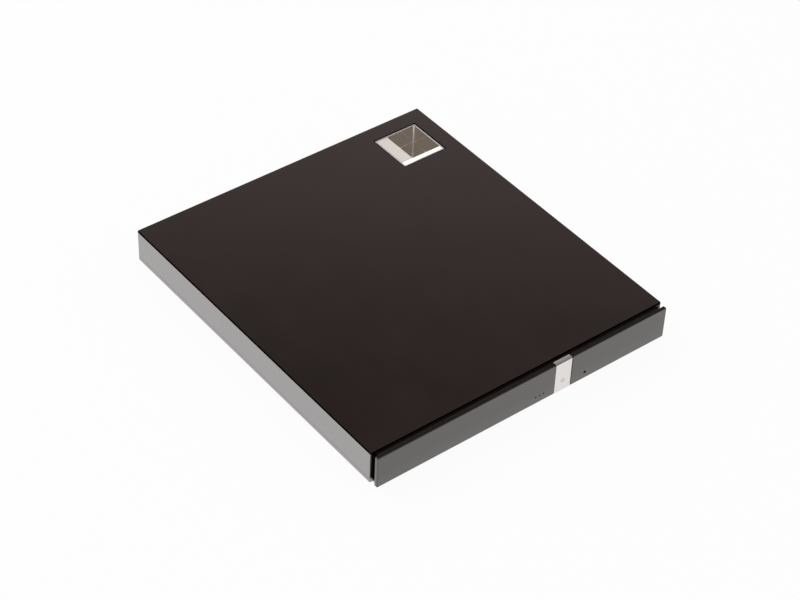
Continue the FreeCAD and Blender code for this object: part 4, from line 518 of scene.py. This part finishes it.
def painted_finish(name, base, size):
    """Silver paint: metal flakes of a tenth of a millimetre, each tilted a little, under a thin clear coat.
    Its colour holds painted shade: darker in the finger mark, on the button's top and most of all along
    its upper edge."""
    made = Finish(name, base, 0.32, 0.92, Coat_Weight=0.2, Coat_Roughness=0.12)
    low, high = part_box("eject_button")
    shaded_dimple_core, shaded_edge_middle, shaded_edge_half, shaded_top_height = 0.0008, 0.0002, 0.00016, 0.00004
    flake = made.node("ShaderNodeSeparateColor", {"Color": made.cells(0.00009, "Color")})
    rubbed = made.noise(0.0012, detail=4.0)
    away = made.math("ADD", *(made.math("POWER", made.math("SUBTRACT", made.axis(letter), middle), 2.0)
                              for letter, middle in (("X", (low.x + high.x) / 2), ("Z", size.dimple_height))))
    # Painted shade in the finger mark's hollow: its middle takes 0.72 of the paint's colour.
    mark = made.remap(away, shaded_dimple_core ** 2, size.dimple_radius ** 2)
    # Painted shade along the button's upper front edge (0.14 of the colour) and on its top face (0.4).
    edge = made.math("LESS_THAN", made.off("Z", high.z - shaded_edge_middle), shaded_edge_half)
    top = made.past("Z", high.z - shaded_top_height)
    paint = made.blend(mark, made.tone(0.72), made.shade(flake.outputs["Red"], 0.94, 1.04))
    paint = made.blend(edge, paint, made.tone(0.14))
    return made.use(Base_Color=made.blend(top, paint, made.tone(0.4)),
                    Roughness=made.remap(rubbed, 0.3, 0.7, 0.27, 0.33),
                    Normal=made.relief(flake.outputs["Green"], 0.0000012))


def lens_finish(name, base):
    """Coated glass: clear body with a violet-blue reflection that drifts over the dome."""
    made = Finish(name, base, 0.03, Transmission_Weight=0.75, IOR=1.6, Coat_Weight=1.0, Coat_Roughness=0.02,
                  Coat_Tint=(0.55, 0.45, 1.0, 1.0))
    drift = made.noise(0.0015, detail=1.0)
    return made.use(Base_Color=made.blend(made.remap(drift, 0.3, 0.7), (0.16, 0.22, 0.6), (0.34, 0.2, 0.62)))


def clear_finish(name, base):
    """Clear acrylic with the faint cloud of its moulding."""
    made = Finish(name, base, 0.08, Transmission_Weight=0.92, IOR=1.49)
    return made.use(Roughness=made.remap(made.noise(0.0012, detail=3.0), 0.3, 0.7, 0.05, 0.2),
                    Normal=made.relief(made.noise(0.0009), 0.00001))


def make_finishes(look, size):
    """One material for each slot of the record, named for it. Moulded plastic has, after its base colour,
    its roughness, the grain's size and depth and the mottle."""
    return [
        shell_finish("black_shell", look.shell),
        bezel_finish("bezel_black", look.bezel),
        mirror_finish("mirror_chrome", look.chrome),
        painted_finish("button_silver", look.button, size),
        moulded("rubber", (0.018, 0.018, 0.019), 0.78, 0.00018, 0.000025, 0.35),
        brushed("steel", (0.55, 0.55, 0.56), 0.28, (1, 0, 0)),
        spangled("zinc_sheet", look.zinc, 0.34),
        moulded("tray_black", look.tray, 0.5, 0.00016, 0.000016, 0.22, spread=0.07),
        moulded("rail_plastic", (0.03, 0.03, 0.032), 0.38, 0.0003, 0.000004, 0.2),
        board_finish("board_green", look.board),
        chip_finish("chip_black", (0.012, 0.012, 0.013)),
        moulded("socket_ivory", (0.62, 0.56, 0.43), 0.4, 0.0002, 0.000006, 0.06),
        ribbon_finish("ribbon_white", (0.78, 0.8, 0.83)),
        clear_finish("clear", (0.95, 0.96, 0.97)),
        lens_finish("lens_blue", (0.2, 0.24, 0.6)),
        brushed("bronze", (0.45, 0.29, 0.15), 0.42, (0, 0, 1), size=0.0002, depth=0.00001),
        wound_finish("copper_wound", (0.72, 0.3, 0.13), 0.00022),
        moulded("ferrite", (0.05, 0.05, 0.055), 0.45, 0.0002, 0.000012, 0.3, metallic=0.5),
        moulded("claw_white", (0.72, 0.71, 0.67), 0.36, 0.0003, 0.000005, 0.05, Subsurface_Weight=0.08),
        moulded("zinc_cast", (0.42, 0.43, 0.44), 0.42, 0.00025, 0.00002, 0.14, spread=0.1, metallic=0.9),
        moulded("damper_grey", (0.13, 0.13, 0.14), 0.7, 0.0002, 0.00001, 0.2),
    ]


# Operators, one for each piece or group of like pieces

class BURNER_OT_finishes(bpy.types.Operator):
    """Make the materials and give each CAD node the one its slot names"""

    bl_idname = "burner.finishes"
    bl_label = "Finishes"

    def execute(self, context):
        for node in frame["nodes"].values():
            node.data.materials.clear()
        for old in list(bpy.data.materials):
            bpy.data.materials.remove(old)
        made = {finish.name: finish for finish in make_finishes(context.scene.burner_colours,
                                                                context.scene.burner_sizes)}
        for part in frame["record"]["subparts"]:
            frame["nodes"][part["node"]].data.materials.append(made[part["material_slot"]])
        return {"FINISHED"}


class BURNER_OT_well(bpy.types.Operator):
    """Make the mirror well: one profile carried round a square, from its outside over the rim to its floor"""

    bl_idname = "burner.well"
    bl_label = "Mirror well"

    def execute(self, context):
        size = context.scene.burner_sizes
        low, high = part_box("mirror_well")
        middle, half = well_rim()
        under_roof, floor = high.z - 0.0011, low.z + 0.0008
        ledge, under_ledge = 0.0005, under_roof - 0.0008
        corner, corner_growth = 0.0003, 0.25
        wall, rim, fillet = size.rim_width, size.rim_round, size.well_fillet
        out, back, turn_in = arc(180, 90, 5), arc(90, 0, 5), arc(180, 270, 4)
        inset = np.concatenate([[0.0, 0.0, -ledge, -ledge, 0.0, 0.0], rim + rim * np.cos(out),
                                wall - rim + rim * np.cos(back), wall + fillet + fillet * np.cos(turn_in)])
        level = np.concatenate([[low.z, under_ledge, under_ledge, under_roof, under_roof, high.z - rim],
                                high.z - rim + rim * np.sin(out), high.z - rim + rim * np.sin(back),
                                floor + fillet + fillet * np.sin(turn_in)])
        loops = []
        for step, height in zip(inset, level):
            outline = middle + rounded_loop(*(half - step), corner + corner_growth * max(step, 0.0), 6)
            loops.append(np.insert(outline, 2, height, axis=1))
        add_piece("mirror_well_lining", *skin(np.array(loops)), "case", "mirror_chrome", "mirror_well")
        return {"FINISHED"}


class BURNER_OT_button(bpy.types.Operator):
    """Make the eject button: its side section carried along X, drawn in at both ends, and a round dimple"""

    bl_idname = "burner.button"
    bl_label = "Eject button"

    def execute(self, context):
        size = context.scene.burner_sizes
        low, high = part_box("eject_button")
        middle = (low + high) / 2
        thickness, face_depth, rows, columns = 0.0022, 0.0004, 68, 44
        stem_radius, stem_tip, stem_height, stem_root, stem_bevel = 0.0012, 0.001, 0.0089, 0.0002, 0.0002
        back, end = low.y + thickness, size.button_end
        turn = arc(0, 90, 4)
        drawn_in = end - end * np.sin(turn)
        insets = np.concatenate([drawn_in, np.zeros(columns), drawn_in[::-1]])
        places = np.concatenate([low.x + end - end * np.cos(turn),
                                 np.linspace(low.x + end, high.x - end, columns + 2)[1:-1],
                                 (high.x - end + end * np.cos(turn))[::-1]])
        sections = (self.section(low, high, back, size.button_round, inset, rows) for inset in insets)
        loops = np.array([np.insert(outline, 0, x, axis=1) for x, outline in zip(places, sections)])
        away = np.hypot(loops[..., 0] - middle.x, loops[..., 2] - size.dimple_height) / size.dimple_radius
        sunk = size.dimple_depth * np.sqrt(np.clip(1 - away ** 2, 0, 1))
        loops[..., 1] += np.where(loops[..., 1] < low.y + face_depth, sunk, 0.0)
        r = np.array([[stem_radius], [stem_radius], [stem_tip]])
        y = np.array([[back - stem_root], [high.y - stem_bevel], [high.y]])
        ring = circle(24)
        stem = np.stack([middle.x + r * np.cos(ring), y + 0 * ring, stem_height + r * np.sin(ring)], -1)
        add_piece("eject_button_cap", *gather([skin(loops), skin(stem)]), "button", "button_silver",
                  "eject_button")
        return {"FINISHED"}

    def section(self, low, high, back, rounding, inset, rows):
        """Side outline in (y, z): front corners of the large radius, back corners of a small one."""
        small, large = 0.00015, rounding - inset
        front, rear = low.y + inset + large, back - inset - small
        half, middle = (high.z - low.z) / 2 - inset, (high.z + low.z) / 2
        below, above, over, under = arc(270, 180, 8), arc(180, 90, 8), arc(90, 0, 2), arc(0, -90, 2)
        face = np.linspace(large - half, half - large, rows + 2)[1:-1]
        y = np.concatenate([front + large * np.cos(below), np.full(rows, low.y + inset),
                            front + large * np.cos(above), rear + small * np.cos(over),
                            rear + small * np.cos(under)])
        z = np.concatenate([large - half + large * np.sin(below), face, half - large + large * np.sin(above),
                            half - small + small * np.sin(over), small - half + small * np.sin(under)])
        return np.column_stack([y, z + middle])


class BURNER_OT_screws(bpy.types.Operator):
    """Make every screw: a turned head with a cross recess, on a threaded shank"""

    bl_idname = "burner.screws"
    bl_label = "Screws"

    def execute(self, context):
        for node, body in (("case_screws", "case"), ("chassis_screws", "case"), ("tray_screws", "tray")):
            solids = [self.screw(points) for points in islands(node)]
            add_piece(node + "_turned", *gather(solids), body, "steel", node, sharp=28.0)
        return {"FINISHED"}

    def screw(self, points):
        """A surface of revolution, radius and height along its profile. The recess lowers the head's top
        where min(|x|, |y|) is small and max(|x|, |y|) is within its reach. The shank's radius is a wave along
        its length."""
        pitch, thread, rings, sides = 0.00045, 0.00012, 13, 40
        centre = (points[:, :2].min(0) + points[:, :2].max(0)) / 2
        radius = np.hypot(*(points[:, :2] - centre).T)
        levels = np.unique(np.round(points[:, 2], 6))
        seat = levels[1]

        def widest(level):
            return radius[np.isclose(points[:, 2], level, atol=2e-6)].max()

        up = widest(levels[-1]) > widest(levels[0])
        crown, tip = (levels[-1], levels[0]) if up else (levels[0], levels[-1])
        head, shank, tall, long = radius.max(), widest(tip), abs(crown - seat), abs(tip - seat)
        bevel = min(0.3 * tall, 0.15 * head)
        turn = arc(90, 0, 3)[1:]
        turns = max(int(long / pitch), 2)
        steps = np.linspace(0, 1, 4 * turns + 1)[1:]
        wave = shank - thread * (0.5 - 0.5 * np.cos(2 * math.pi * turns * steps))
        profile_r = np.concatenate([np.linspace(0, head - bevel, rings), head - bevel + bevel * np.cos(turn),
                                    [head, shank], wave, [0.0]])
        profile_h = np.concatenate([np.full(rings, tall), tall - bevel + bevel * np.sin(turn), [0.0, 0.0],
                                    -long * steps, [-long]])
        angle = circle(sides)
        x = profile_r[:, None] * np.cos(angle)
        y = profile_r[:, None] * np.sin(angle)
        h = np.repeat(profile_h[:, None], sides, 1)
        near, far = np.minimum(abs(x), abs(y)), np.maximum(abs(x), abs(y))
        reach, slot, deep = 0.58 * head, 0.1755 * head, 0.62 * tall
        reach_slope, slot_slope = 0.18 * head, 0.065 * head
        cut = np.clip((slot - near) / slot_slope, 0, 1) * np.clip((reach - far) / reach_slope, 0, 1)
        h[:rings] -= (deep * cut)[:rings]
        side = 1 if up else -1
        solid = np.stack([centre[0] + x, centre[1] + side * y, seat + side * h], -1)
        return solid.reshape(-1, 3), grid_faces(len(profile_r), sides)


class BURNER_OT_springs(bpy.types.Operator):
    """Wind the latch spring and the ejector spring: helices whose end turns lie flat"""

    bl_idname = "burner.springs"
    bl_label = "Springs"

    def execute(self, context):
        wire, per_turn = context.scene.burner_sizes.spring_wire, 28
        for node, turns, along in (("latch_spring", 6, 2), ("ejector_spring", 12, 1)):
            low, high = (np.array(corner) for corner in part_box(node))
            middle = (low + high) / 2
            first, second = (axis for axis in range(3) if axis != along)
            radius = (high - low)[first] / 2 - wire / 2
            t = np.linspace(0.0, 1.0, turns * per_turn + 1)
            flat = np.clip((t * turns - 1.0) / (turns - 2.0), 0.0, 1.0)
            path = np.zeros((len(t), 3))
            path[:, first] = middle[first] + radius * np.cos(2 * math.pi * turns * t)
            path[:, second] = middle[second] + radius * np.sin(2 * math.pi * turns * t)
            path[:, along] = low[along] + wire / 2 + (high - low - wire)[along] * flat
            coil = bent_tube(path, np.eye(3)[along], wire / 2)
            add_piece(node + "_wound", *skin(coil), "tray", "steel", node)
        return {"FINISHED"}


class BURNER_OT_lead_screw(bpy.types.Operator):
    """Cut the lead screw: its radius falls by the groove's depth along a helix of the stated lead"""

    bl_idname = "burner.lead_screw"
    bl_label = "Lead screw"

    def execute(self, context):
        size = context.scene.burner_sizes
        plain_start, plain_end, run_out, end_share, rings, sides = 0.002, 0.0035, 0.0006, 0.8, 620, 36
        flat_share, flank = 1.6, 8.0
        turn = Matrix.Rotation(-TRAVERSE_TURN, 3, "Z")
        points = np.array([turn @ (Vector(p) - HUB) for p in islands("lead_screw")[0]])
        low, high = points.min(0), points.max(0)
        radius = (high - low)[1] / 2
        middle = (high + low) / 2
        u = np.concatenate([[low[0]], np.linspace(low[0], high[0], rings), [high[0]]])[:, None]
        angle = circle(sides)
        phase = (u / size.thread_lead - angle / (2 * math.pi)) % 1.0
        groove = np.clip(flat_share - abs(phase - 0.5) * flank, 0.0, 1.0)
        cut = np.clip((u - low[0] - plain_start) / run_out, 0, 1)
        cut *= np.clip((high[0] - plain_end - u) / run_out, 0, 1)
        r = radius - size.thread_depth * groove * cut
        r[0] = r[-1] = radius * end_share
        solid = np.stack([u + 0 * angle, middle[1] + r * np.cos(angle), middle[2] + r * np.sin(angle)], -1)
        solid = solid @ np.array(Matrix.Rotation(TRAVERSE_TURN, 3, "Z")).T + np.array(HUB)
        add_piece("lead_screw_cut", *skin(solid), "feed_screw", "steel", "lead_screw")
        return {"FINISHED"}


class BURNER_OT_turned(bpy.types.Operator):
    """Turn the feet, damper grommets, motor bell, turntable pad and lenses from their profiles"""

    bl_idname = "burner.turned"
    bl_label = "Turned pieces"

    def execute(self, context):
        size = context.scene.burner_sizes
        thinnest = 0.0002
        for node, body, slot, profile in (("rubber_feet", "case", "rubber", self.foot),
                                          ("damper_grommets", "tray", "damper_grey", self.grommet),
                                          ("rotor_bell", "spindle", "zinc_sheet", self.bell),
                                          ("turntable_pad", "spindle", "rubber", self.pad),
                                          ("objective_lenses", "lens", "lens_blue", self.dome)):
            solids = []
            for points in islands(node):
                low, high = points.min(0), points.max(0)
                if high[2] - low[2] > thinnest:
                    radius = (high[0] - low[0]) / 2
                    solids.append(self.turn((low + high) / 2, profile(radius, low[2], high[2], size)))
            add_piece(node + "_turned", *gather(solids), body, slot, node, sharp=38.0)
        return {"FINISHED"}

    def turn(self, centre, profile):
        """A surface of revolution: centre + (r cos t, r sin t) at height h, for each (r, h) of a profile."""
        sides = 80
        angle = circle(sides)
        r, h = (np.array(column, float)[:, None] for column in zip(*profile))
        solid = np.stack([centre[0] + r * np.cos(angle), centre[1] + r * np.sin(angle), h + 0 * angle], -1)
        return solid.reshape(-1, 3), grid_faces(len(r), sides)

    def corner(self, r, h, radius, start, end, steps=6):
        """Points of an arc about (r, h)."""
        return [(r + radius * math.cos(t), h + radius * math.sin(t)) for t in arc(start, end, steps)]

    def foot(self, radius, low, high, size):
        """A dished sole inside a bearing ring, then a rounded edge up to the plain side."""
        edge, dish_radius, dish_depth = size.foot_round, 0.0026, 0.00018
        dish = [(u * dish_radius, low + dish_depth * (1 - u ** 4)) for u in np.linspace(0.0, 1.0, 12)]
        return dish + self.corner(radius - edge, low + edge, edge, 270, 360) + [(radius, high), (0.0, high)]

    def grommet(self, radius, low, high, size):
        """A spool: two lips with rounded edges, and a groove of the sheet's thickness between them."""
        edge, bore, neck, lip = 0.00018, 0.00125, 0.0019, 0.0005
        return ([(bore, low)] + self.corner(radius - edge, low + edge, edge, 270, 360)
                + self.corner(radius - edge, low + lip - edge, edge, 0, 90)
                + [(neck, low + lip), (neck, high - lip)]
                + self.corner(radius - edge, high - lip + edge, edge, 270, 360)
                + self.corner(radius - edge, high - edge, edge, 0, 90) + [(bore, high), (bore, low)])

    def bell(self, radius, low, high, size):
        """A drawn cup with a rounded shoulder, a shallow step inside the pad and a rolled lower rim."""
        wall, edge, bore, roll = 0.0005, size.bell_round, 0.001, 0.0001
        step_out, step_in, step_depth, slope = 0.0104, 0.0084, 0.00012, 0.0002
        step = [(step_out, high), (step_out - slope, high - step_depth), (step_in + slope, high - step_depth),
                (step_in, high)]
        return ([(bore, high - wall), (radius - wall, high - wall), (radius - wall, low)]
                + self.corner(radius - roll, low + roll, roll, 270, 360, 3)
                + self.corner(radius - edge, high - edge, edge, 0, 90) + step
                + [(bore, high), (bore, high - wall)])

    def pad(self, radius, low, high, size):
        """A flat ring with rounded edges, whose top falls in three grooves: high - depth sin^2 across it."""
        inner, edge, groove = 0.0108, 0.0001, 0.00006
        share = np.linspace(0.0, 1.0, 60)
        across = inner + edge + share * (radius - inner - 2 * edge)
        top = [(r, high - groove * math.sin(3 * math.pi * u) ** 2) for r, u in zip(across, share)]
        return ([(inner, low)] + self.corner(inner + edge, high - edge, edge, 180, 90, 3) + top
                + self.corner(radius - edge, high - edge, edge, 90, 0, 3) + [(radius, low), (inner, low)])

    def dome(self, radius, low, high, size):
        """A rim with a rounded edge, and the lens in it: a cap of a sphere, from its rise and its radius."""
        rise, rim, edge = 0.0004, 0.00018, 0.00006
        shoulder, clear = high - rise, radius - rim
        ball = (clear ** 2 + rise ** 2) / (2 * rise)
        cap = [(r, high - ball + math.sqrt(ball ** 2 - r ** 2)) for r in np.linspace(clear, 0.0, 14)]
        return ([(0.0, low), (radius, low)] + self.corner(radius - edge, shoulder - edge, edge, 0, 90, 3)
                + [(clear, shoulder)] + cap)


class BURNER_OT_contacts(bpy.types.Operator):
    """Lay the five contacts under the socket's tongue: flat strips whose tips rise along a parabola"""

    bl_idname = "burner.contacts"
    bl_label = "Socket contacts"

    def execute(self, context):
        low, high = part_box("usb_tongue")
        pitch, half_width, half_height, edge = 0.0008, 0.00018, 0.00004, 0.00002
        tip_from, tip_rise = 0.85, 0.0001
        middle, level, start, end = (low.x + high.x) / 2, high.z - 0.00077, low.y + 0.00195, high.y - 0.0006
        share = np.concatenate([[0.0, tip_from], np.linspace(0.88, 1.0, 5)])
        lift = tip_rise * np.clip((share - tip_from) / (1 - tip_from), 0, 1) ** 2
        strips = []
        for step in range(-2, 3):
            outline = rounded_loop(half_width, half_height, edge, 3) + (middle + pitch * step, level)
            loops = [np.insert(outline + (0.0, rise), 1, start + u * (end - start), axis=1)
                     for u, rise in zip(share, lift)]
            strips.append(skin(np.array(loops)))
        add_piece("socket_contacts", *gather(strips), "case", "bronze")
        return {"FINISHED"}


class BURNER_OT_stage(bpy.types.Operator):
    """Set the floor, the surroundings, the four softboxes and the camera"""

    bl_idname = "burner.stage"
    bl_label = "Studio"

    def execute(self, context):
        studio = context.scene.burner_studio
        self.floor()
        self.surroundings(context.scene, studio)
        self.softbox("key", studio.key, toward=(-0.476, 0.581, 0.66), distance=1.5, side=1.5)
        self.softbox("fill", studio.fill, toward=(0.476, -0.581, 0.66), distance=1.5, side=1.6)
        self.softbox("top", studio.top, toward=(0.0, 0.0, 1.0), distance=1.6, side=2.0)
        self.softbox("card", studio.card, toward=(0.5129, 0.6218, 0.5918), distance=1.63, side=0.026)
        self.camera(context.scene, studio)
        context.scene.view_settings.view_transform = "Standard"
        return {"FINISHED"}

    def floor(self):
        """White paper just under the feet, which glows to the camera and in reflections, and lets a camera
        below it look through."""
        reach, level, paper_glow = 6.0, -0.00002, 0.94
        mesh = bpy.data.meshes.new("studio_floor")
        mesh.from_pydata([(x * reach, y * reach, level) for x, y in ((-1, -1), (1, -1), (1, 1), (-1, 1))], [],
                         [(0, 1, 2, 3)])
        floor = bpy.data.objects.new("studio_floor", mesh)
        bpy.context.scene.collection.objects.link(floor)
        material = bpy.data.materials.new("white_paper")
        material.use_nodes = True
        paper = Nodes(material.node_tree)
        shader = paper.tree.nodes["Principled BSDF"]
        paper.set(shader, {"Base Color": (0.86, 0.86, 0.86, 1.0), "Roughness": 0.9,
                           "Specular IOR Level": 0.1})
        glow = paper.node("ShaderNodeEmission", {"Strength": 1.0}).outputs["Emission"]
        path = paper.node("ShaderNodeLightPath").outputs
        seen = paper.math("MAXIMUM", path["Is Camera Ray"], path["Is Glossy Ray"])
        above = paper.mix(paper.math("MULTIPLY", seen, paper_glow), shader.outputs["BSDF"], glow)
        below = paper.node("ShaderNodeBsdfTransparent").outputs["BSDF"]
        behind = paper.node("ShaderNodeNewGeometry").outputs["Backfacing"]
        paper.set(paper.tree.nodes["Material Output"], {"Surface": paper.mix(behind, above, below)})
        material.cycles.emission_sampling = "NONE"
        mesh.materials.append(material)

    def surroundings(self, scene, studio):
        """White to the camera; to everything else, bright at and under the horizon and dark overhead."""
        world = bpy.data.worlds.new("studio")
        scene.world = world
        world.use_nodes = True
        world.node_tree.nodes.clear()
        sky = Nodes(world.node_tree)
        direction = sky.node("ShaderNodeTexCoord").outputs["Generated"]
        leaning = sky.node("ShaderNodeVectorMath", {0: direction, 1: (-0.16, -0.19, 1.0)},
                           operation="DOT_PRODUCT")
        ramp = sky.node("ShaderNodeValToRGB", {"Fac": leaning.outputs["Value"]})
        tones = ramp.color_ramp.elements
        tones.remove(tones[1])
        tones[0].color = (1.0, 1.0, 1.0, 1.0)
        for place, tone in ((0.4, (1.0, 1.0, 1.0)), (0.44, (0.58, 0.58, 0.58)), (0.48, (0.21, 0.21, 0.21)),
                            (0.54, (0.09, 0.09, 0.09)), (0.62, (0.13, 0.13, 0.13)), (0.7, (0.22, 0.21, 0.2)),
                            (0.82, (0.18, 0.165, 0.145)), (1.0, (0.16, 0.15, 0.14))):
            tones.new(place).color = (*tone, 1.0)
        gloss = sky.node("ShaderNodeBackground", {"Color": ramp.outputs["Color"], "Strength": studio.sky})
        white = sky.node("ShaderNodeBackground", {"Color": (1.0, 1.0, 1.0, 1.0)})
        seen = sky.node("ShaderNodeLightPath").outputs["Is Camera Ray"]
        sky.node("ShaderNodeOutputWorld", {"Surface": sky.mix(seen, gloss.outputs[0], white.outputs[0])})

    def softbox(self, name, watts, toward, distance, side):
        """A square lamp that faces the origin from the given direction and distance."""
        light = bpy.data.lights.new("softbox_" + name, "AREA")
        light.shape = "SQUARE"
        light.size = side
        light.energy = watts
        lamp = bpy.data.objects.new("softbox_" + name, light)
        bpy.context.scene.collection.objects.link(lamp)
        lamp.location = Vector(toward) * distance
        lamp.rotation_mode = "QUATERNION"
        lamp.rotation_quaternion = Vector(toward).to_track_quat("Z", "Y")

    def camera(self, scene, studio):
        """The photograph's viewpoint: azimuth, elevation and roll, then how far the camera stands back, to
        the left and above the middle of the bezel's lower edge."""
        azimuth, elevation, roll = (math.radians(angle) for angle in (-39.34, 41.33, 2.51))
        away, aside, above = 0.884816, 0.048379, 0.042267
        target = Vector((0.0, cad_box[0][1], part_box("bottom_cover")[0].z))
        back = Vector((math.sin(azimuth) * math.cos(elevation), -math.cos(azimuth) * math.cos(elevation),
                       math.sin(elevation)))
        level_right = (-back).cross(Vector((0, 0, 1))).normalized()
        level_up = level_right.cross(-back)
        right = level_right * math.cos(roll) + level_up * math.sin(roll)
        up = level_up * math.cos(roll) - level_right * math.sin(roll)
        data = bpy.data.cameras.new("camera")
        data.lens, data.sensor_width = studio.lens, 36.0
        data.clip_start, data.clip_end = 0.05, 50.0
        camera = bpy.data.objects.new("camera", data)
        scene.collection.objects.link(camera)
        turn = Matrix((right, up, back)).transposed().to_4x4()
        camera.matrix_world = Matrix.Translation(target + away * back - aside * right + above * up) @ turn
        scene.camera = camera


OPERATORS = (BURNER_OT_finishes, BURNER_OT_well, BURNER_OT_button, BURNER_OT_screws, BURNER_OT_springs,
             BURNER_OT_lead_screw, BURNER_OT_turned, BURNER_OT_contacts, BURNER_OT_stage)


class BURNER_PT_panel(bpy.types.Panel):
    """The burner's pieces, sizes and colours in the sidebar"""

    bl_idname = "BURNER_PT_panel"
    bl_label = "Disc burner"
    bl_space_type = "VIEW_3D"
    bl_region_type = "UI"
    bl_category = "Burner"

    def draw(self, context):
        for operator in OPERATORS:
            self.layout.operator(operator.bl_idname)
        for group in GROUPS:
            values = getattr(context.scene, group)
            for name in values.bl_rna.properties.keys():
                if name not in ("rna_type", "name"):
                    self.layout.prop(values, name)


GROUPS = {"burner_sizes": BurnerSizes, "burner_colours": BurnerColours, "burner_studio": BurnerStudio}
CLASSES = tuple(GROUPS.values()) + OPERATORS + (BURNER_PT_panel,)


def register():
    for kind in CLASSES:
        bpy.utils.register_class(kind)
    for name, kind in GROUPS.items():
        setattr(bpy.types.Scene, name, PointerProperty(type=kind))


def unregister():
    for name in GROUPS:
        delattr(bpy.types.Scene, name)
    for kind in reversed(CLASSES):
        bpy.utils.unregister_class(kind)


def main():
    register()
    for operator in OPERATORS:
        group, name = operator.bl_idname.split(".")
        getattr(getattr(bpy.ops, group), name)()


if __name__ == "__main__":
    main()
